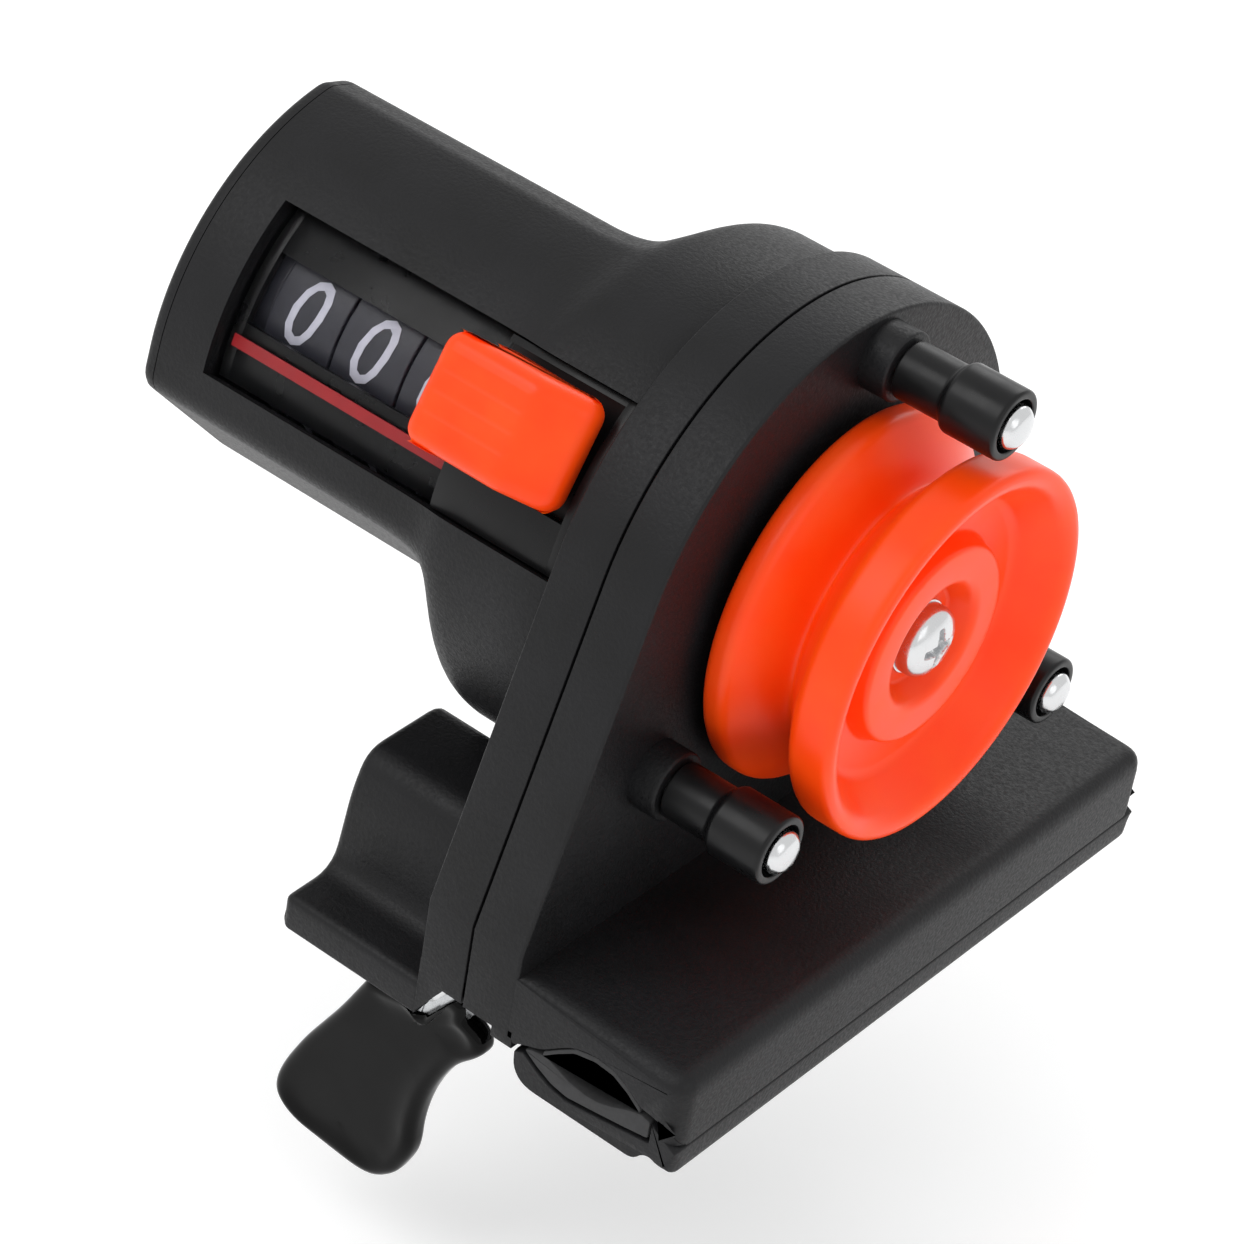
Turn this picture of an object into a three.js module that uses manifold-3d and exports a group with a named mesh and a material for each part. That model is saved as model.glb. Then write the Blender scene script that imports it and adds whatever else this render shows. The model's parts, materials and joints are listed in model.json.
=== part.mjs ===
// Clip-on line counter: a measuring wheel that meters fishing line running over it, with a
// three-drum counter in a barrel behind it and a sprung jaw below that grips a rod.
// Millimetres. +X runs along the wheel axle away from the counter, +Y along the rod, +Z up.
// The origin is the centre of the rod grip: on the rod axis, halfway along the jaw's hinge zone.
import * as THREE from "three";
import { mergeVertices } from "three/addons/utils/BufferGeometryUtils.js";
import Module from "manifold-3d";

const wasm = await Module();
wasm.setup();

// ---------------------------------------------------------------- driving dimensions
const ROD_X = 11.0; // rod axis, measured from the front face of the wheel plate
const ROD_Z = -37.6; // rod axis, below the wheel axle
const GAP = 0.3; // running and assembly gap between touching pieces

const FLANGE_R = 22.0; // wheel flanges, 44 mm over all
const GROOVE_R = 15.9; // bottom of the line groove, 0.1 m round
const WHEEL_X0 = 1.5;
const WHEEL_X1 = 18.3;

const PLATE_R = 32.4; // round top of the wheel plate
const SEAM_FRONT = -6.65; // joint between front frame and middle frame
const SEAM_REAR = -12.95; // joint between middle frame and counter housing
const END_NEAR = -43.8; // the two ends of the plate and base, along the rod
const END_FAR = 41.5;
const SHOULDER_Z = -28.1; // where the slanted sides of the plate turn vertical
const BASE_TOP = -30.8;
const BASE_SPLIT = -39.7; // joint between base and lower jaw
const BASE_BOTTOM = -44.7;
const BASE_X1 = 22.7;
const BLOCK_BOTTOM = -44.1; // underside of the finger block behind the plate

const TILT = (30 * Math.PI) / 180; // the reading face leans back 30 degrees
const FACE_R = 30.0; // radius of the reading face about the wheel axle
const FLARE_R = 31.2; // round gear housing next to the plate
const FLARE_X = -29.0;
const BARREL_X0 = -69.4;
const WALL = 2.0;

const DRUM_N = 12.6; // drum axis in the tilted frame: outwards, and along the face
const DRUM_S = 1.2;
const DRUM_R = 13.5;
const DRUM_PITCH = 9.4;
const DRUM_W = 9.1;
const FIRST_DRUM_X = -60.1;

const PIN_X = -11.0; // jaw hinge pin
const PIN_Z = -40.0;
const PIN_R = 1.1;

const ROLLERS = {
  top: [3.2, 27.4],
  near: [-25.6, -12.9],
  far: [25.6, -18.0],
};
const ROLLER_X1 = 17.1;

// ---------------------------------------------------------------- colours
const mat = (color, roughness, metalness = 0, extra = {}) =>
  new THREE.MeshStandardMaterial({ color, roughness, metalness, ...extra });
const ABS = mat(0x2b2b2c, 0.55);
const ORANGE = mat(0xff4a17, 0.35);
const STEEL = mat(0xc4c6c8, 0.28, 1);
const VINYL = mat(0x0c0c0d, 0.12);
const RUBBER = mat(0x3a3a3b, 0.8);
const DRUM = mat(0x34343c, 0.5);
const RED = mat(0xb0282c, 0.5);
const CLEAR = mat(0xdfe6ea, 0.06, 0, { transparent: true, opacity: 0.25 });
const ACETAL = mat(0xe6e3da, 0.45);
const BRASS = mat(0xb9954e, 0.35, 1);

// ---------------------------------------------------------------- solids
const solid = (geometry) => {
  const g = geometry.clone();
  for (const a of Object.keys(g.attributes)) if (a !== "position") g.deleteAttribute(a);
  g.clearGroups();
  const m = mergeVertices(g, 1e-4);
  return new wasm.Manifold(
    new wasm.Mesh({
      numProp: 3,
      vertProperties: new Float32Array(m.attributes.position.array),
      triVerts: new Uint32Array(m.index.array),
    }),
  );
};
const geometryOf = (s) => {
  const m = s.getMesh();
  const v = new Float32Array(m.numVert * 3);
  for (let i = 0; i < m.numVert; i++)
    v.set(m.vertProperties.subarray(i * m.numProp, i * m.numProp + 3), i * 3);
  const g = new THREE.BufferGeometry()
    .setAttribute("position", new THREE.BufferAttribute(v, 3))
    .setIndex(new THREE.BufferAttribute(new Uint32Array(m.triVerts), 1));
  g.computeVertexNormals();
  return g;
};
const shape = (pts) => new THREE.Shape(pts.map(([a, b]) => new THREE.Vector2(a, b)));
const AXES_X = new THREE.Matrix4().makeBasis(
  new THREE.Vector3(0, 1, 0),
  new THREE.Vector3(0, 0, 1),
  new THREE.Vector3(1, 0, 0),
);
const AXES_Y = new THREE.Matrix4().makeBasis(
  new THREE.Vector3(1, 0, 0),
  new THREE.Vector3(0, 0, 1),
  new THREE.Vector3(0, -1, 0),
);
// The tilted frame of the reading face: first axis outwards, second along the face, third +X.
const OUT = new THREE.Vector3(0, -Math.cos(TILT), Math.sin(TILT));
const ALONG = new THREE.Vector3(0, Math.sin(TILT), Math.cos(TILT));
const AXES_FACE = new THREE.Matrix4().makeBasis(ALONG, OUT, new THREE.Vector3(1, 0, 0));
const face = (n, s) => [n * OUT.y + s * ALONG.y, n * OUT.z + s * ALONG.z];

const extrude = (pts, depth) => new THREE.ExtrudeGeometry(shape(pts), { depth, bevelEnabled: false, steps: 1 });
// a (y, z) outline pushed from x0 to x1
const alongX = (pts, x0, x1) => solid(extrude(pts, x1 - x0).applyMatrix4(AXES_X).translate(x0, 0, 0));
// an (x, z) outline pushed from y0 to y1
const alongY = (pts, y0, y1) => solid(extrude(pts, y1 - y0).applyMatrix4(AXES_Y).translate(0, y1, 0));
// an outline of (along, outwards) points on the tilted face, pushed from x0 to x1
const alongFace = (pts, x0, x1) => solid(extrude(pts, x1 - x0).applyMatrix4(AXES_FACE).translate(x0, 0, 0));
const ring = (cy, cz, r, n, a0 = 0) =>
  Array.from({ length: n }, (_, i) => {
    const a = a0 + (i * 2 * Math.PI) / n;
    return [cy + r * Math.cos(a), cz + r * Math.sin(a)];
  });
const arc = (cy, cz, r, a0, a1, n) =>
  Array.from({ length: n + 1 }, (_, i) => {
    const a = ((a0 + ((a1 - a0) * i) / n) * Math.PI) / 180;
    return [cy + r * Math.cos(a), cz + r * Math.sin(a)];
  });
const rodX = (y, z, r, x0, x1, n = 20) => alongX(ring(y, z, r, n), x0, x1);
const rodY = (x, z, r, y0, y1, n = 20) => alongY(ring(x, z, r, n), y0, y1);
const box = (x0, x1, y0, y1, z0, z1) =>
  solid(new THREE.BoxGeometry(x1 - x0, y1 - y0, z1 - z0).translate((x0 + x1) / 2, (y0 + y1) / 2, (z0 + z1) / 2));
const faceBox = (x0, x1, s0, s1, n0, n1) => alongFace([[s0, n0], [s1, n0], [s1, n1], [s0, n1]], x0, x1);
// a profile of [radius, x] points turned about an axis parallel to X; it starts and ends on the axis or closes
const turned = (pts, y = 0, z = 0, n = 48) =>
  solid(
    new THREE.LatheGeometry(pts.map(([r, x]) => new THREE.Vector2(r, x)), n)
      .rotateZ(-Math.PI / 2)
      .translate(0, y, z),
  );
const hull2 = (pts) => {
  const p = [...pts].sort((a, b) => a[0] - b[0] || a[1] - b[1]);
  const turn = (o, a, b) => (a[0] - o[0]) * (b[1] - o[1]) - (a[1] - o[1]) * (b[0] - o[0]);
  const half = (list) => {
    const h = [];
    for (const q of list) {
      while (h.length > 1 && turn(h[h.length - 2], h[h.length - 1], q) <= 1e-9) h.pop();
      h.push(q);
    }
    h.pop();
    return h;
  };
  return [...half(p), ...half(p.reverse())];
};
// stacked rings of equal length, closed at both ends, as one solid
const stacked = (rings) => {
  const n = rings[0].length;
  const v = rings.flat(2);
  const f = [];
  const mid = (r) => r.reduce((a, q) => a.map((c, i) => c + q[i] / n), [0, 0, 0]);
  for (let k = 0; k + 1 < rings.length; k++)
    for (let i = 0; i < n; i++) {
      const a = k * n + i;
      const b = k * n + ((i + 1) % n);
      f.push(a, b, b + n, a, b + n, a + n);
    }
  const first = v.length / 3;
  v.push(...mid(rings[0]), ...mid(rings[rings.length - 1]));
  for (let i = 0; i < n; i++) {
    const j = (i + 1) % n;
    f.push(first, j, i, first + 1, (rings.length - 1) * n + i, (rings.length - 1) * n + j);
  }
  const g = new THREE.BufferGeometry()
    .setAttribute("position", new THREE.BufferAttribute(new Float32Array(v), 3))
    .setIndex(f);
  const s = solid(g);
  if (s.volume() > 0) return s;
  for (let i = 0; i < f.length; i += 3) [f[i + 1], f[i + 2]] = [f[i + 2], f[i + 1]];
  return solid(
    new THREE.BufferGeometry()
      .setAttribute("position", new THREE.BufferAttribute(new Float32Array(v), 3))
      .setIndex(f),
  );
};
const gearOutline = (cy, cz, tip, teeth, a0 = 0) => {
  const pts = [];
  for (let i = 0; i < teeth; i++)
    for (const [k, r] of [[0.04, tip - 0.9], [0.3, tip], [0.56, tip], [0.82, tip - 0.9]]) {
      const a = a0 + ((i + k) * 2 * Math.PI) / teeth;
      pts.push([cy + r * Math.cos(a), cz + r * Math.sin(a)]);
    }
  return pts;
};
class Helix extends THREE.Curve {
  constructor(centre, axis, side, radius, pitch, turns) {
    super();
    Object.assign(this, { centre, axis, side, radius, pitch, turns });
    this.third = new THREE.Vector3().crossVectors(axis, side);
  }
  getPoint(t, out = new THREE.Vector3()) {
    const a = t * this.turns * 2 * Math.PI;
    return out
      .copy(this.centre)
      .addScaledVector(this.axis, t * this.turns * this.pitch)
      .addScaledVector(this.side, this.radius * Math.cos(a))
      .addScaledVector(this.third, this.radius * Math.sin(a));
  }
}
const coil = (curve, wire, steps) =>
  solid(
    new THREE.ExtrudeGeometry(shape(ring(0, 0, wire, 5)), { steps, bevelEnabled: false, extrudePath: curve }),
  );

// ---------------------------------------------------------------- assembly
const group = new THREE.Group();
group.position.set(-ROD_X, 0, -ROD_Z);
const add = (name, s, material) => {
  const mesh = new THREE.Mesh(geometryOf(s), material);
  mesh.name = name;
  group.add(mesh);
};

// ---- wheel plate, shared outline of front and middle frame
const tangent = (cy) => {
  // angle where the straight side leaves the round top
  const d = Math.hypot(cy, SHOULDER_Z);
  const toCorner = Math.atan2(SHOULDER_Z, cy);
  const open = Math.acos(PLATE_R / d);
  return (toCorner + (cy > 0 ? open : -open)) * (180 / Math.PI);
};
const a0 = tangent(END_FAR);
const a1 = tangent(END_NEAR) + 360;
const plate = (bottom) => [
  [END_NEAR, bottom],
  [END_FAR, bottom],
  [END_FAR, SHOULDER_Z],
  ...arc(0, 0, PLATE_R, a0, a1, 44),
  [END_NEAR, SHOULDER_Z],
];
const slots = () => box(-33, 2.0, -42.5, -36.4, -47, -33.9).add(box(-14.5, 2.0, 31.0, 37.0, -47, -36.4));

// ---- front frame: plate and base in one moulding
const arch = [
  [2.0, BASE_SPLIT + 0.6],
  [4.2, -37.0],
  [6.2, -35.2],
  [8.4, -34.1],
  [11.7, -33.9],
  [14.5, -34.7],
  [16.4, -35.8],
  [17.9, -36.8],
  [19.6, BASE_SPLIT],
];
{
  const baseOutline = [
    ...arch,
    [BASE_X1, BASE_SPLIT],
    [BASE_X1, BASE_TOP - 2.6],
    [BASE_X1 - 0.8, BASE_TOP - 0.8],
    [BASE_X1 - 2.6, BASE_TOP],
    [-0.2, BASE_TOP],
    [-0.2, BASE_SPLIT + 0.6],
  ];
  let s = alongX(plate(BASE_SPLIT + 0.6), SEAM_FRONT + GAP / 2, 0).add(alongY(baseOutline, END_NEAR, END_FAR))
    .add(box(-2.5, 0.4, END_NEAR, END_FAR, -40.3, -38.5));
  // rounded upright corners and ends of the base
  const corner = 2.4;
  const endCut = (y, d) => {
    const pts = [
      [BASE_X1 + 1, y - d * 1],
      [BASE_X1 + 1, y + d * corner],
      [BASE_X1, y + d * corner],
      [BASE_X1 - corner * 0.3, y + d * corner * 0.3],
      [BASE_X1 - corner, y],
      [BASE_X1 - corner, y - d * 1],
    ];
    const poly = d > 0 ? pts : [...pts].reverse();
    return solid(extrude(poly, 12).translate(0, 0, -42));
  };
  const lip = (y, d) => {
    const o = [
      [y - d, BASE_TOP + 1],
      [y - d, BASE_TOP - 2.2],
      [y, BASE_TOP - 2.2],
      [y + d * 0.65, BASE_TOP - 0.65],
      [y + d * 2.2, BASE_TOP],
      [y + d * 2.2, BASE_TOP + 1],
    ];
    return alongX(d > 0 ? o : [...o].reverse(), 0.05, BASE_X1 + 1);
  };
  for (const [y, d] of [[END_NEAR, 1], [END_FAR, -1]]) s = s.subtract(endCut(y, d)).subtract(lip(y, d));
  s = s.subtract(rodX(0, 0, 5.0, -8, 1, 32)).subtract(slots());
  for (const [y, z] of Object.values(ROLLERS)) {
    s = s.add(rodX(y, z, 4.05, -0.5, 3.4, 28)).subtract(rodX(y, z, 1.5 + GAP, -5.2, 4, 16));
  }
  for (const [y, z] of [[-29.5, -32.5], [34.0, -30.0]]) s = s.subtract(rodX(y, z, 1.5, SEAM_FRONT, -1.6, 12));
  add("front_frame", s, ABS);
}

// ---- middle frame: plate, hinge rail and finger block
{
  const rail = [
    [SEAM_REAR + 0.15, BLOCK_BOTTOM],
    [-12.5, BLOCK_BOTTOM + 0.6],
    [-9.4, -38.8],
    [SEAM_FRONT - GAP / 2, -38.8],
    [SEAM_FRONT - GAP / 2, -36],
    [SEAM_REAR + 0.15, -36],
  ];
  const block = [
    [END_NEAR, BLOCK_BOTTOM],
    [END_NEAR, -40.6],
    [END_NEAR + 0.9, -39.7],
    [-38.8, -39.6],
    [-37.1, -38.7],
    [-35.9, -36.6],
    [-35.3, -32.7],
    [-34.2, -27.6],
    [-33.4, -26.1],
    [-31.9, -25.2],
    [-24.0, -24.8],
    [-21.9, -25.3],
    [-20.6, -26.6],
    [-20.2, -28.4],
    [-20.2, BLOCK_BOTTOM],
  ].reverse();
  let s = alongX(plate(-38), SEAM_REAR + 0.15, SEAM_FRONT - GAP / 2)
    .add(alongY(rail, END_NEAR, END_FAR))
    .add(alongX(block, -32, SEAM_REAR + 0.4));
  // the flare of the counter housing sits above the block
  s = s.subtract(rodX(0, 0, FLARE_R + GAP, -40, SEAM_REAR + 0.15, 64));
  s = s.subtract(rodX(0, 0, 3.6, SEAM_REAR - 1, SEAM_FRONT + 1, 24));
  s = s.subtract(slots());
  s = s.subtract(box(-14, -6, -10.0, 4.0, -47, -36.2));
  s = s.subtract(rodY(PIN_X, PIN_Z, PIN_R + GAP, END_NEAR - 1, END_FAR - 2.0, 16));
  const [dy, dz] = face(DRUM_N, DRUM_S);
  s = s.subtract(rodX(dy, dz, 1.9, SEAM_REAR - 1, -9.5, 16));
  for (const [y, z] of [[-29.5, -32.5], [34.0, -30.0]])
    s = s
      .subtract(rodX(y, z, 1.8, -34, -5, 12))
      .subtract(rodX(y, z, 3.1, -34, y < 0 ? -24 : -10.6, 20));
  for (const [y, z] of [[25.3, -4.0], [13.0, -22.5], [-12.0, -23.0]]) s = s.subtract(rodX(y, z, 1.5, SEAM_REAR - 1, -8.2, 12));
  add("middle_frame", s, ABS);
}

// ---- counter housing: round gear housing at the plate, drawn out into the barrel
const barrelHull = (shrink) =>
  hull2([
    ...ring(4, 3, 19 - shrink, 64),
    ...ring(23.8, -7.7, 5 - shrink, 32),
    ...ring(13.5, 22.2, 4 - shrink, 32),
    ...arc(0, 0, FACE_R - shrink, -17, 58, 24),
  ]);
const CENTRE = [9, 3];
const cast = (poly, a) => {
  // distance from CENTRE to the outline along angle a
  const [ox, oy] = CENTRE;
  const dx = Math.cos(a);
  const dy = Math.sin(a);
  let best = 0;
  poly.forEach(([x0, y0], i) => {
    const [x1, y1] = poly[(i + 1) % poly.length];
    const ex = x1 - x0;
    const ey = y1 - y0;
    const den = dx * ey - dy * ex;
    if (Math.abs(den) < 1e-12) return;
    const t = ((x0 - ox) * ey - (y0 - oy) * ex) / den;
    const u = ((x0 - ox) * dy - (y0 - oy) * dx) / den;
    if (t > 0 && u >= -1e-9 && u <= 1 + 1e-9) best = Math.max(best, t);
  });
  return best;
};
const RAYS = 48;
const section = (x, barrel, flare, mix) =>
  Array.from({ length: RAYS }, (_, i) => {
    const a = (i * 2 * Math.PI) / RAYS;
    const rb = cast(barrel, a);
    const rf = cast(flare, a);
    const r = rb + (rf - rb) * mix;
    const [y, z] = face(CENTRE[0] + r * Math.cos(a), CENTRE[1] + r * Math.sin(a));
    return [x, y, z];
  });
const FILLET = [[-37.0, 0], [-34.4, 0.06], [-32.4, 0.19], [-31.0, 0.36], [-30.0, 0.58], [-29.6, 0.78], [-28.9, 0.93], [-27.6, 1]];
const INSERT = { x0: -62.7, x1: SEAM_REAR - 0.15, s0: -9.5, s1: 10.6 };
const [DRUM_Y, DRUM_Z] = face(DRUM_N, DRUM_S);
{
  const outer = barrelHull(0);
  const inner = barrelHull(WALL);
  const flareOut = ring(0, 0, FLARE_R, 96);
  const flareIn = ring(0, 0, FLARE_R - WALL, 96);
  let s = stacked([
    section(BARREL_X0, outer, flareOut, 0),
    ...FILLET.map(([x, f]) => section(x, outer, flareOut, f)),
    section(SEAM_REAR - 0.15, outer, flareOut, 1),
  ]);
  const hollow = stacked([
    section(BARREL_X0 - 1, inner, flareIn, 0),
    section(-35.5, inner, flareIn, 0),
    section(-31.0, inner, flareIn, 0.2),
    section(-28.0, inner, flareIn, 0.6),
    section(-26.6, inner, flareIn, 1),
    section(SEAM_REAR + 1, inner, flareIn, 1),
  ]);
  s = s.subtract(hollow);
  for (const [y, z] of [[25.3, -4.0], [13.0, -22.5], [-12.0, -23.0]]) {
    s = s.add(rodX(y, z, 3.4, -29.0, SEAM_REAR - 0.15, 20).intersect(stacked([section(-29.3, outer, flareOut, 1), section(SEAM_REAR - 0.15, outer, flareOut, 1)])));
    s = s.subtract(rodX(y, z, 1.8, -40, -12, 12)).subtract(rodX(y, z, 2.8, -40, -26.4, 16));
  }
  s = s.subtract(faceBox(INSERT.x0 - GAP, INSERT.x1 + 1, INSERT.s0 - GAP, INSERT.s1 + GAP, 20, 40));
  add("counter_housing", s, ABS);
  // end cap: a lid a little larger than the barrel, with a spigot and the axle bearings
  let cap = stacked([
    section(BARREL_X0 - 1.9, barrelHull(0.6), flareOut, 0),
    section(BARREL_X0 - 1.3, barrelHull(0), flareOut, 0),
    section(BARREL_X0 - 0.15, barrelHull(0), flareOut, 0),
  ]).add(
    stacked([section(BARREL_X0 - 0.3, barrelHull(WALL + GAP), flareOut, 0), section(BARREL_X0 + 3.4, barrelHull(WALL + GAP), flareOut, 0)]).subtract(
      stacked([section(BARREL_X0 - 0.1, barrelHull(WALL + 1.8), flareOut, 0), section(BARREL_X0 + 4, barrelHull(WALL + 1.8), flareOut, 0)]),
    ),
  );
  cap = cap.subtract(faceBox(BARREL_X0 + 0.1, BARREL_X0 + 4, -30, 30, 24.6, 40));
  cap = cap.add(rodX(DRUM_Y, DRUM_Z, 3.4, BARREL_X0 - 0.6, BARREL_X0 + 5.2, 20)).subtract(rodX(DRUM_Y, DRUM_Z, 1.9, BARREL_X0 + 0.4, BARREL_X0 + 6, 16));
  const [cy, cz] = face(DRUM_N - 17.5, DRUM_S);
  cap = cap.add(rodX(cy, cz, 2.6, BARREL_X0 - 0.6, BARREL_X0 + 5.2, 16)).subtract(rodX(cy, cz, 1.3, BARREL_X0 + 0.4, BARREL_X0 + 6, 12));
  add("end_cap", cap, ABS);
}

// ---- bezel insert: frame of the window and seat of the button
const shell = (r0, r1, x0, x1, s0, s1) => {
  const a = (s, r) => (Math.acos(s / r) * 180) / Math.PI;
  return alongFace([...arc(0, 0, r1, a(s1, r1), a(s0, r1), 12), ...arc(0, 0, r0, a(s0, r0), a(s1, r0), 12)], x0, x1);
};
{
  let s = shell(26.4, 29.95, INSERT.x0, INSERT.x1, INSERT.s0, INSERT.s1);
  s = s.subtract(shell(27.55, 33, INSERT.x0 - 1, -30.9, INSERT.s0 - 1, INSERT.s1 + 1)); // recess under the clear cover
  s = s.subtract(faceBox(-61.3, -31.6, -3.9, 5.6, 20, 34));
  s = s.add(faceBox(-30.7, -19.6, -3.4, 8.5, 17.0, 27.2)).subtract(faceBox(-29.6, -20.7, -2.3, 7.4, 18.2, 31));
  s = s.subtract(faceBox(-30.6, -15.0, -3.8, 9.7, 27.0, 34));
  add("bezel_insert", s, ABS);
  add("index_stripe", shell(27.8, 28.1, -61.8, -31.5, -5.7, -4.4), RED);
  add("window_cover", shell(28.4, 29.95, INSERT.x0 + 0.1, -31.2, INSERT.s0 + 0.1, INSERT.s1 - 0.1), CLEAR);
}

// ---- reset button, sliding straight into the reading face
{
  const cap = [
    // (x, n) outline of the cap, seen along the face
    [-33.2, 33.2],
    [-30.3, 33.2],
    [-30.3, 29.6],
    [-15.5, 29.6],
    [-15.3, 31.6],
    [-15.9, 32.7],
    [-20.2, 36.0],
    [-21.2, 36.3],
    [-32.2, 36.3],
    [-33.2, 35.4],
  ];
  const AXES_BUTTON = new THREE.Matrix4().makeBasis(new THREE.Vector3(1, 0, 0), OUT, new THREE.Vector3().copy(ALONG).negate());
  const slab = (pts, s0, s1) =>
    solid(extrude(pts, s1 - s0).applyMatrix4(AXES_BUTTON).translate(0, s1 * ALONG.y, s1 * ALONG.z));
  let s = slab(cap, -3.4, 9.3);
  // softened long edges of the cap
  for (const [side, dir] of [[-3.4, 1], [9.3, -1]]) {
    const cut = [
      [side - dir, 37.5],
      [side - dir, 34.4],
      [side, 34.4],
      [side + dir * 0.6, 35.7],
      [side + dir * 1.9, 36.4],
      [side + dir * 1.9, 37.5],
    ];
    s = s.subtract(alongFace(dir > 0 ? cut : [...cut].reverse(), -34, -13));
  }
  s = s.add(faceBox(-28.2, -21.8, -0.9, 6.0, 23.0, 30.5));
  add("reset_button", s, ORANGE);
  const [sy, sz] = face(18.7, 2.55);
  add(
    "button_spring",
    coil(new Helix(new THREE.Vector3(-25, sy, sz), OUT.clone(), new THREE.Vector3(1, 0, 0), 2.0, 0.88, 4), 0.26, 44),
    STEEL,
  );
}

// ---- drums, carry pinions and their shafts
const drum = (x0, x1, r = DRUM_R) =>
  alongX(ring(DRUM_Y, DRUM_Z, r, 30), x0, x1).subtract(rodX(DRUM_Y, DRUM_Z, 1.9, x0 - 1, x1 + 1, 16));
["hundreds", "tens", "units"].forEach((n, i) => {
  const x = FIRST_DRUM_X + i * DRUM_PITCH;
  add("drum_" + n, drum(x, x + DRUM_W), DRUM);
});
add("drum_end_collar", drum(-63.4, -60.4, DRUM_R - 0.7), DRUM);
add("drum_shaft", rodX(DRUM_Y, DRUM_Z, 1.6, BARREL_X0 + 0.8, -9.9, 16), STEEL);
const [CARRY_Y, CARRY_Z] = face(DRUM_N - 17.5, DRUM_S);
add("carry_shaft", rodX(CARRY_Y, CARRY_Z, 1.0, BARREL_X0 + 0.8, -34.0, 12), STEEL);
["tens", "hundreds"].forEach((n, i) => {
  const x = FIRST_DRUM_X + (2 - i) * DRUM_PITCH - 2.15;
  add(
    "carry_pinion_" + n,
    alongX(gearOutline(CARRY_Y, CARRY_Z, 3.6, 8), x, x + 4.0).subtract(rodX(CARRY_Y, CARRY_Z, 1.3, x - 1, x + 5, 12)),
    ACETAL,
  );
});

// ---- reduction gears, ten turns of the wheel to one of the units drum
const [IDLER_Y, IDLER_Z] = face(7.22, -9.06);
add(
  "axle_pinion",
  alongX(gearOutline(0, 0, 2.45, 8), -16.6, -13.4).subtract(rodX(0, 0, 1.3, -18, -13, 12)),
  BRASS,
);
add(
  "idler_gear",
  alongX(gearOutline(IDLER_Y, IDLER_Z, 8.9, 28), -16.2, -14.0)
    .add(alongX(gearOutline(IDLER_Y, IDLER_Z, 2.7, 7), -19.4, -16.0))
    .subtract(rodX(IDLER_Y, IDLER_Z, 1.3, -21, -12, 12)),
  ACETAL,
);
add("idler_shaft", rodX(IDLER_Y, IDLER_Z, 1.0, -20.4, SEAM_REAR - 0.15, 12), STEEL);
add(
  "drum_gear",
  alongX(gearOutline(DRUM_Y, DRUM_Z, 8.2, 20), -19.0, -17.0)
    .add(rodX(DRUM_Y, DRUM_Z, 2.7, -31.5, -17.2, 20))
    .subtract(rodX(DRUM_Y, DRUM_Z, 1.9, -33, -16, 16)),
  ACETAL,
);

// ---- wheel and its axle
add("wheel_axle", turned([[0, -16.4], [1.0, -16.4], [1.0, SEAM_REAR], [2.0, SEAM_REAR + 0.2], [2.0, 11.6], [0, 11.6]], 0, 0, 20), STEEL);
add("axle_bush", turned([[2.3, SEAM_FRONT + 0.3], [4.7, SEAM_FRONT + 0.3], [4.7, 0.3], [5.9, 0.3], [5.9, 0.8], [2.3, 0.8], [2.3, SEAM_FRONT + 0.3]], 0, 0, 20), BRASS);
{
  const profile = [
    [2.3, 1.1],
    [8.0, 1.1],
    [19.4, 2.6],
    [20.0, WHEEL_X0],
    [FLANGE_R - 0.5, WHEEL_X0],
    [FLANGE_R, WHEEL_X0 + 0.5],
    [FLANGE_R, 4.3],
    [GROOVE_R, 8.3],
    [GROOVE_R, 9.1],
    [FLANGE_R, 13.2],
    [FLANGE_R, WHEEL_X1 - 0.7],
    [FLANGE_R - 0.7, WHEEL_X1],
    [20.3, WHEEL_X1],
    [19.3, 17.4],
    [16.4, 13.0],
    [12.2, 12.8],
    [11.6, 15.3],
    [7.2, 15.3],
    [6.0, 12.4],
    [2.3, 12.4],
    [2.3, 1.1],
  ];
  add("measuring_wheel", turned(profile, 0, 0, 48), ORANGE);
}
add("hub_washer", turned([[1.4, 12.7], [4.5, 12.7], [4.5, 13.2], [1.4, 13.2], [1.4, 12.7]], 0, 0, 20), STEEL);
{
  let s = turned([[0, 11.9], [1.1, 11.9], [1.1, 13.5], [4.1, 13.5], [4.1, 14.6], [3.4, 15.5], [1.8, 16.1], [0, 16.3]], 0, 0, 20);
  s = s.subtract(box(14.4, 17, -2.1, 2.1, -0.45, 0.45)).subtract(box(14.4, 17, -0.45, 0.45, -2.1, 2.1));
  add("hub_screw", s, STEEL);
}

// ---- line rollers: a steel pin in the plate and a loose sleeve on it
for (const [name, [y, z]] of Object.entries(ROLLERS)) {
  add(
    "roller_" + name,
    turned(
      [
        [1.8, 3.7],
        [3.3, 3.7],
        [3.3, 9.8],
        [4.05, 10.4],
        [4.05, ROLLER_X1 - 0.3],
        [3.75, ROLLER_X1],
        [3.0, ROLLER_X1],
        [3.0, ROLLER_X1 - 1.6],
        [1.8, ROLLER_X1 - 1.6],
        [1.8, 3.7],
      ],
      y,
      z,
      20,
    ),
    ABS,
  );
  add(
    "roller_pin_" + name,
    turned(
      [[0, -5.0], [1.5, -5.0], [1.5, ROLLER_X1 - 1.2], [2.5, ROLLER_X1 - 1.2], [2.5, ROLLER_X1 + 0.4], [1.9, ROLLER_X1 + 1.2], [0, ROLLER_X1 + 1.5]],
      y,
      z,
      16,
    ),
    STEEL,
  );
}

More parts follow.
